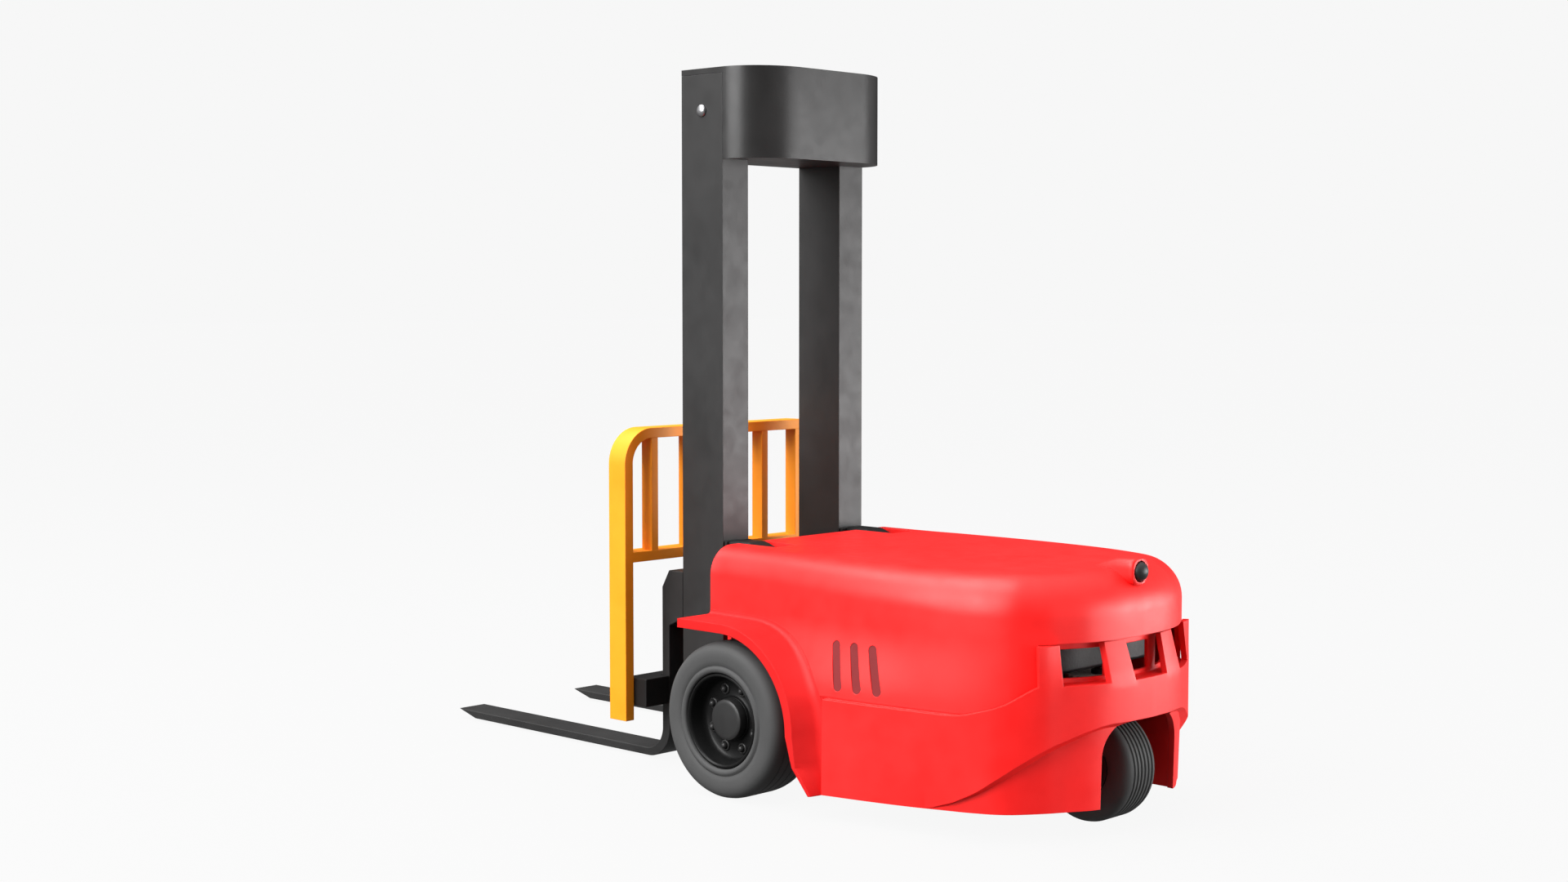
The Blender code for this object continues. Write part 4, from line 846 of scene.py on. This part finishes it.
def make_front_wheels():
    """Grooved tyres, deep rims with their nuts, and the hub caps."""
    middle, half = (WHEEL_OUT + WHEEL_IN) / 2, (WHEEL_OUT - WHEEL_IN) / 2
    for side, s in SIDES:
        centre, axis = (s * middle, y_at(WHEEL_Y), WHEEL_R), (s, 0, 0)
        flank = [(0.0160, 0.0090), (0.0160, half - 0.0006), (0.0164, half - 0.0002), (0.0170, half),
                 (0.0177, half - 0.0001), (0.0180, half - 0.0005), (0.0183, half - 0.0006),
                 (0.0187, half - 0.0003), (0.0200, half - 0.0001), (0.0216, half), (0.0230, half - 0.0001),
                 (0.0241, half - 0.0005), (0.0250, half - 0.0013), (0.0256, half - 0.0024),
                 (WHEEL_R - 0.0001, half - 0.0038)]
        tread = grooved(WHEEL_R, (-0.0052, -0.0018, 0.0018, 0.0052), 0.0007, 0.00035)
        profile = flank + tread + [(r, -x) for r, x in reversed(flank)]
        tyre = turned(f"tyre_{side}", centre, axis, profile, 128, 50.0)
        place_piece(tyre, "front_wheels", f"front_tyre_{side}")
        lip, disc = 0.0096, 0.0035
        profile = [(0.0158, -lip), (0.0158, lip), (0.0155, lip + 0.0004), (0.0150, lip + 0.0005),
                   (0.0146, lip + 0.0002), (0.0144, lip - 0.0005), (0.0138, disc + 0.0022),
                   (0.0134, disc + 0.0006), (0.0126, disc), (0.0078, disc), (0.0074, disc + 0.0003),
                   (0.0072, disc + 0.0010), (0.0023, disc + 0.0010), (0.0023, -0.0085), (0.0060, -0.0085),
                   (0.0062, disc - 0.0030), (0.0136, disc - 0.0030), (0.0143, -lip)]
        rim = turned(f"rim_{side}", centre, axis, profile, 96, 40.0)
        place_piece(rim, "front_wheels", f"front_rim_{side}")
        # the rim's colour is black plastic darkened as painted shade for its deep bowl
        paint(rim, SKINS["rim_black_and_shade"])
        make_lugs(side, s, centre, disc)
        face, base, radius = 0.0078, 0.0047, 0.00685
        profile = [(0.0, base), (radius, base), (radius, face - 0.0010), (radius - 0.0002, face - 0.0004),
                   (radius - 0.0007, face - 0.0001), (radius - 0.0014, face), (0.0, face + 0.0001)]
        cap = turned(f"hub_cap_{side}_fine", centre, axis, profile, 72, 40.0)
        place_piece(cap, "front_wheels", f"hub_cap_{side}")


def make_lugs(side, s, centre, disc):
    """Eight domed wheel nuts, each on a raised ring."""
    ring_r, count = 0.0103, 8
    bm = bmesh.new()
    for index in range(count):
        turn = 2 * math.pi * (index + 0.5) / count
        place = (centre[0], centre[1] + ring_r * math.sin(turn), centre[2] + ring_r * math.cos(turn))
        ring = [(0.0019, disc - 0.0002), (0.0019, disc + 0.0003), (0.0017, disc + 0.0005),
                (0.0013, disc + 0.0005), (0.0012, disc + 0.0002), (0.0012, disc - 0.0002)]
        nut = [(0.0, disc - 0.0002), (0.0011, disc - 0.0002), (0.0011, disc + 0.0010),
               (0.0009, disc + 0.0014), (0.0005, disc + 0.0017), (0.0, disc + 0.0018)]
        for profile in (ring, nut):
            part = turned("lug", place, (s, 0, 0), profile, 20, 50.0)
            bm.from_mesh(part.data)
            bpy.data.objects.remove(part)
    lugs = from_bmesh(f"wheel_nuts_{side}", bm, 50.0)
    paint(lugs, SKINS["dark_plastic"])
    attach(lugs, "front_wheels")


def make_rear_wheel():
    """The ribbed rear tyre."""
    centre, axis = (0.0, y_at(REAR_Y), REAR_R), (1, 0, 0)
    half = (REAR_HIGH.x - REAR_LOW.x) / 2
    flank = [(0.0090, half - 0.0008), (0.0100, half - 0.0002), (0.0120, half), (0.0145, half - 0.0001),
             (0.0158, half - 0.0003), (0.0167, half - 0.0008), (0.0173, half - 0.0015),
             (REAR_R - 0.0001, half - 0.0023)]
    first, pitch, count = -0.0047, 0.00188, 6
    tread = grooved(REAR_R, [first + pitch * i for i in range(count)], 0.0010, 0.0005)
    profile = flank + tread + [(r, -x) for r, x in reversed(flank)]
    tyre = turned("tyre_rear", centre, axis, profile, 112, 50.0)
    place_piece(tyre, "rear_wheel", "rear_tyre")


# Mast and carriage -----------------------------------------------------------------------------------------
COLUMN_LOW, COLUMN_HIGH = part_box("mast_column_left")
COLUMN_OUT, COLUMN_IN = COLUMN_HIGH.x, COLUMN_LOW.x
COLUMN_DEPTH = COLUMN_HIGH.y - MAST_Y
CAP_LOW, CAP_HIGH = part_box("mast_cap")
CAP_REAR = CAP_HIGH.y - MAST_Y
CAP_WALL = 0.0018
CAP_SEAM = 0.00006
CAP_CORNER = (0.0205, 0.0178)   # across and along reach of the elliptical rear corners
CAP_ROOF = 0.0020
COLUMN_GAP = 0.0003             # clearance of the cap round the columns
AXLE_LOW, AXLE_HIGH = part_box("top_axle")
AXLE_Z = (AXLE_LOW.z + AXLE_HIGH.z) / 2
AXLE_Y = (AXLE_LOW.y + AXLE_HIGH.y) / 2


def cap_outline(inset, front):
    """Plan of the cap: square at the mast's front, elliptical at the rear corners."""
    half, rear = COLUMN_OUT - inset, CAP_REAR - inset
    across, along = (reach - inset for reach in CAP_CORNER)
    quarter = arc((0, 0), 1.0, 0, 90, 32)
    corner = [(half - across + across * x, rear - along + along * y) for x, y in quarter]
    right = [(half, front)] + corner
    return [(x, y_at(y)) for x, y in right + [(-x, y) for x, y in reversed(right)]]


def make_cap():
    """The hollow cap over the columns, with the bore of the top axle."""
    low, top = CAP_LOW.z, CAP_HIGH.z
    cap = prism("cap_shell", "XY", [cap_outline(0.0, 0.0)], low, top)
    behind, inner = COLUMN_DEPTH + CAP_SEAM, COLUMN_IN - COLUMN_GAP
    roof = top - CAP_ROOF
    tools = [prism("cap_rear", "XY", [cap_outline(CAP_WALL, behind - 0.0010)], low + CAP_WALL, roof),
             block("cap_middle", (CAP_WALL - inner, y_at(CAP_WALL), low + CAP_WALL),
                   (inner - CAP_WALL, y_at(behind), roof))]
    for side, s in SIDES:
        left, right = span(s, inner, 0.0400)
        tools.append(block("cap_column", (left, y_at(-0.0020), low - 0.0100), (right, y_at(behind), roof)))
    combine(cap, "DIFFERENCE", tools)
    bore = turned("cap_bore", (0.0, AXLE_Y, AXLE_Z), (1, 0, 0),
                  [(0.0, -0.0300), (0.0019, -0.0300), (0.0019, 0.0300), (0.0, 0.0300)], 24)
    combine(cap, "DIFFERENCE", [bore])
    place_piece(cap, "mast", "mast_cap")
    paint(cap, SKINS["cap_plastic"])


def make_axle_pin():
    """The top axle with its domed, riveted ends."""
    end, neck, radius, head = 0.0372, 0.0362, 0.0015, 0.0021
    half = [(0.0, end), (head * 0.35, end - 0.00005), (head * 0.65, end - 0.0002),
            (head * 0.88, end - 0.0005), (head, end - 0.0008), (head, neck), (radius, neck)]
    profile = half + [(r, -x) for r, x in reversed(half)]
    pin = turned("top_axle_fine", (0.0, AXLE_Y, AXLE_Z), (1, 0, 0), profile, 40, 40.0)
    place_piece(pin, "top_shaft", "top_axle")


def make_guard():
    """The load guard's frame and its upright bars."""
    low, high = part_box("load_guard")
    outer, bar, mid, wall = high.x, 0.0036, 0.0720, 0.0038
    inner = outer - wall
    outer_r, inner_r = 0.0126, 0.0088
    right = [(outer, low.z)] + arc((outer - outer_r, high.z - outer_r), outer_r, 0, 90, 20)
    foot = [(inner, low.z), (inner, mid)]
    outline = right + [(-x, z) for x, z in reversed(right)] + [(-x, z) for x, z in foot] + foot[::-1]
    crown = [(inner, mid + bar)] + arc((inner - inner_r, high.z - bar - inner_r), inner_r, 0, 90, 20)
    window = crown + [(-x, z) for x, z in reversed(crown)]
    guard = prism("guard_frame", "XZ", [outline, window], low.y, high.y)
    round_edges(guard, SOFT_EDGE, 2)
    place_piece(guard, "carriage", "load_guard")
    half, behind = 0.0016, 0.0032
    for index, middle in enumerate((-0.0371, -0.0190, 0.0, 0.0190, 0.0371)):
        upright = block(f"guard_upright_{index + 1}", (middle - half, low.y + behind, mid + bar / 2),
                        (middle + half, high.y - 0.0001, high.z - bar / 2))
        round_edges(upright, FINE_EDGE, 2)
        paint(upright, SKINS["yellow_plastic"])
        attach(upright, "carriage")


def make_forks():
    """Forks with pointed blades, rounded heels and tall shanks."""
    blade = 0.0028
    for side, s in SIDES:
        low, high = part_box(f"fork_{side}")
        bottom, top = low.z, low.z + blade
        front, rear = -0.0108, -0.0072
        heel_in, heel_out = 0.0085, 0.0110
        heel = arc((front - heel_in, top + heel_in), heel_in, -90, 0, 18)
        back = arc((rear - heel_out, bottom + heel_out), heel_out, 0, -90, 20)
        outline = [(low.y - MAST_Y, top)] + heel
        outline += [(front, 0.0626), (-0.0073, high.z), (-0.0003, high.z), (-0.0003, 0.0522),
                    (rear, 0.0490)]
        outline += back + [(-0.1177, bottom)]
        fork = prism(f"fork_arm_{side}", "YZ", [[(y_at(y), z) for y, z in outline]], low.x, high.x)
        round_edges(fork, SOFT_EDGE, 2)
        place_piece(fork, "carriage", f"fork_{side}")


# Button ----------------------------------------------------------------------------------------------------
BUTTON_LOW, BUTTON_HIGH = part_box("power_button")
BUTTON_Z = (BUTTON_LOW.z + BUTTON_HIGH.z) / 2


def make_button():
    """The fairing that swells from the hood's rear edge, and the domed button in it."""
    face, mouth = 0.1678, 0.0034
    squareness = 3.2                # 2 would give a round section
    sections = []
    for y, half, drop in ((0.1440, 0.0006, 0.0028), (0.1500, 0.0022, 0.0019), (0.1560, 0.0036, 0.0008),
                          (0.1610, 0.0042, 0.0), (0.1660, 0.0043, 0.0), (face - 0.0005, 0.0043, 0.0),
                          (face, 0.0039, 0.0)):
        ring = []
        for turn in np.radians(np.arange(0, 360, 7.5)):
            across, up = abs(math.cos(turn)) ** squareness, abs(math.sin(turn)) ** squareness
            reach = half / (across + up) ** (1 / squareness)
            ring.append((reach * math.cos(turn), y_at(y), BUTTON_Z - drop + reach * math.sin(turn)))
        sections.append(ring)
    fairing = tube("button_fairing", sections, 50.0)
    bore = turned("button_bore", (0.0, y_at(0.1660), BUTTON_Z), (0, 1, 0),
                  [(0.0, -0.0050), (mouth, -0.0050), (mouth, 0.0050), (0.0, 0.0050)], 48)
    combine(fairing, "DIFFERENCE", [bore], 50.0)
    paint(fairing, SKINS["red_plastic"])
    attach(fairing, "truck")
    length = BUTTON_HIGH.y - BUTTON_LOW.y
    radius = (BUTTON_HIGH.x - BUTTON_LOW.x) / 2
    dome, wall, hollow = 0.0026, 0.0010, 0.0025
    turns = np.radians(np.linspace(0, 90, 12))
    crown = [(radius * math.cos(t), length - dome + dome * math.sin(t)) for t in turns]
    profile = [(radius - wall, 0.0), (radius, 0.0)] + crown[:-1]
    profile += [(0.0, length), (0.0, hollow), (radius - wall, hollow)]
    button = turned("button_dome", (0.0, BUTTON_LOW.y, BUTTON_Z), (0, 1, 0), profile, 48, 40.0)
    place_piece(button, "button", "power_button")


# Everything ------------------------------------------------------------------------------------------------
for node, obj in frame["nodes"].items():
    paint(obj, SKINS[SLOT_OF[node]])

FINE_NODES = ["window_frame", "mast_column_left", "mast_column_right", "carriage_lower_bar",
              "carriage_upper_bar", "tilt_arm_left", "tilt_arm_right"]
COLUMN_LIFT = 0.00024           # brings the columns' tops up to the cap's roof
COLUMN_TOP = AXLE_Z + 0.0060
for node in FINE_NODES:
    fine = refined(node)
    if node.startswith("mast_column"):
        for vertex in fine.data.vertices:
            if vertex.co.z > COLUMN_TOP:
                vertex.co.z += COLUMN_LIFT
make_hood()
make_vent_shade_strips()
make_fenders()
make_skirt()
make_front_wheels()
make_rear_wheel()
make_cap()
make_axle_pin()
make_guard()
make_forks()
make_button()

make_stage()
make_world()
make_lights()
make_camera()
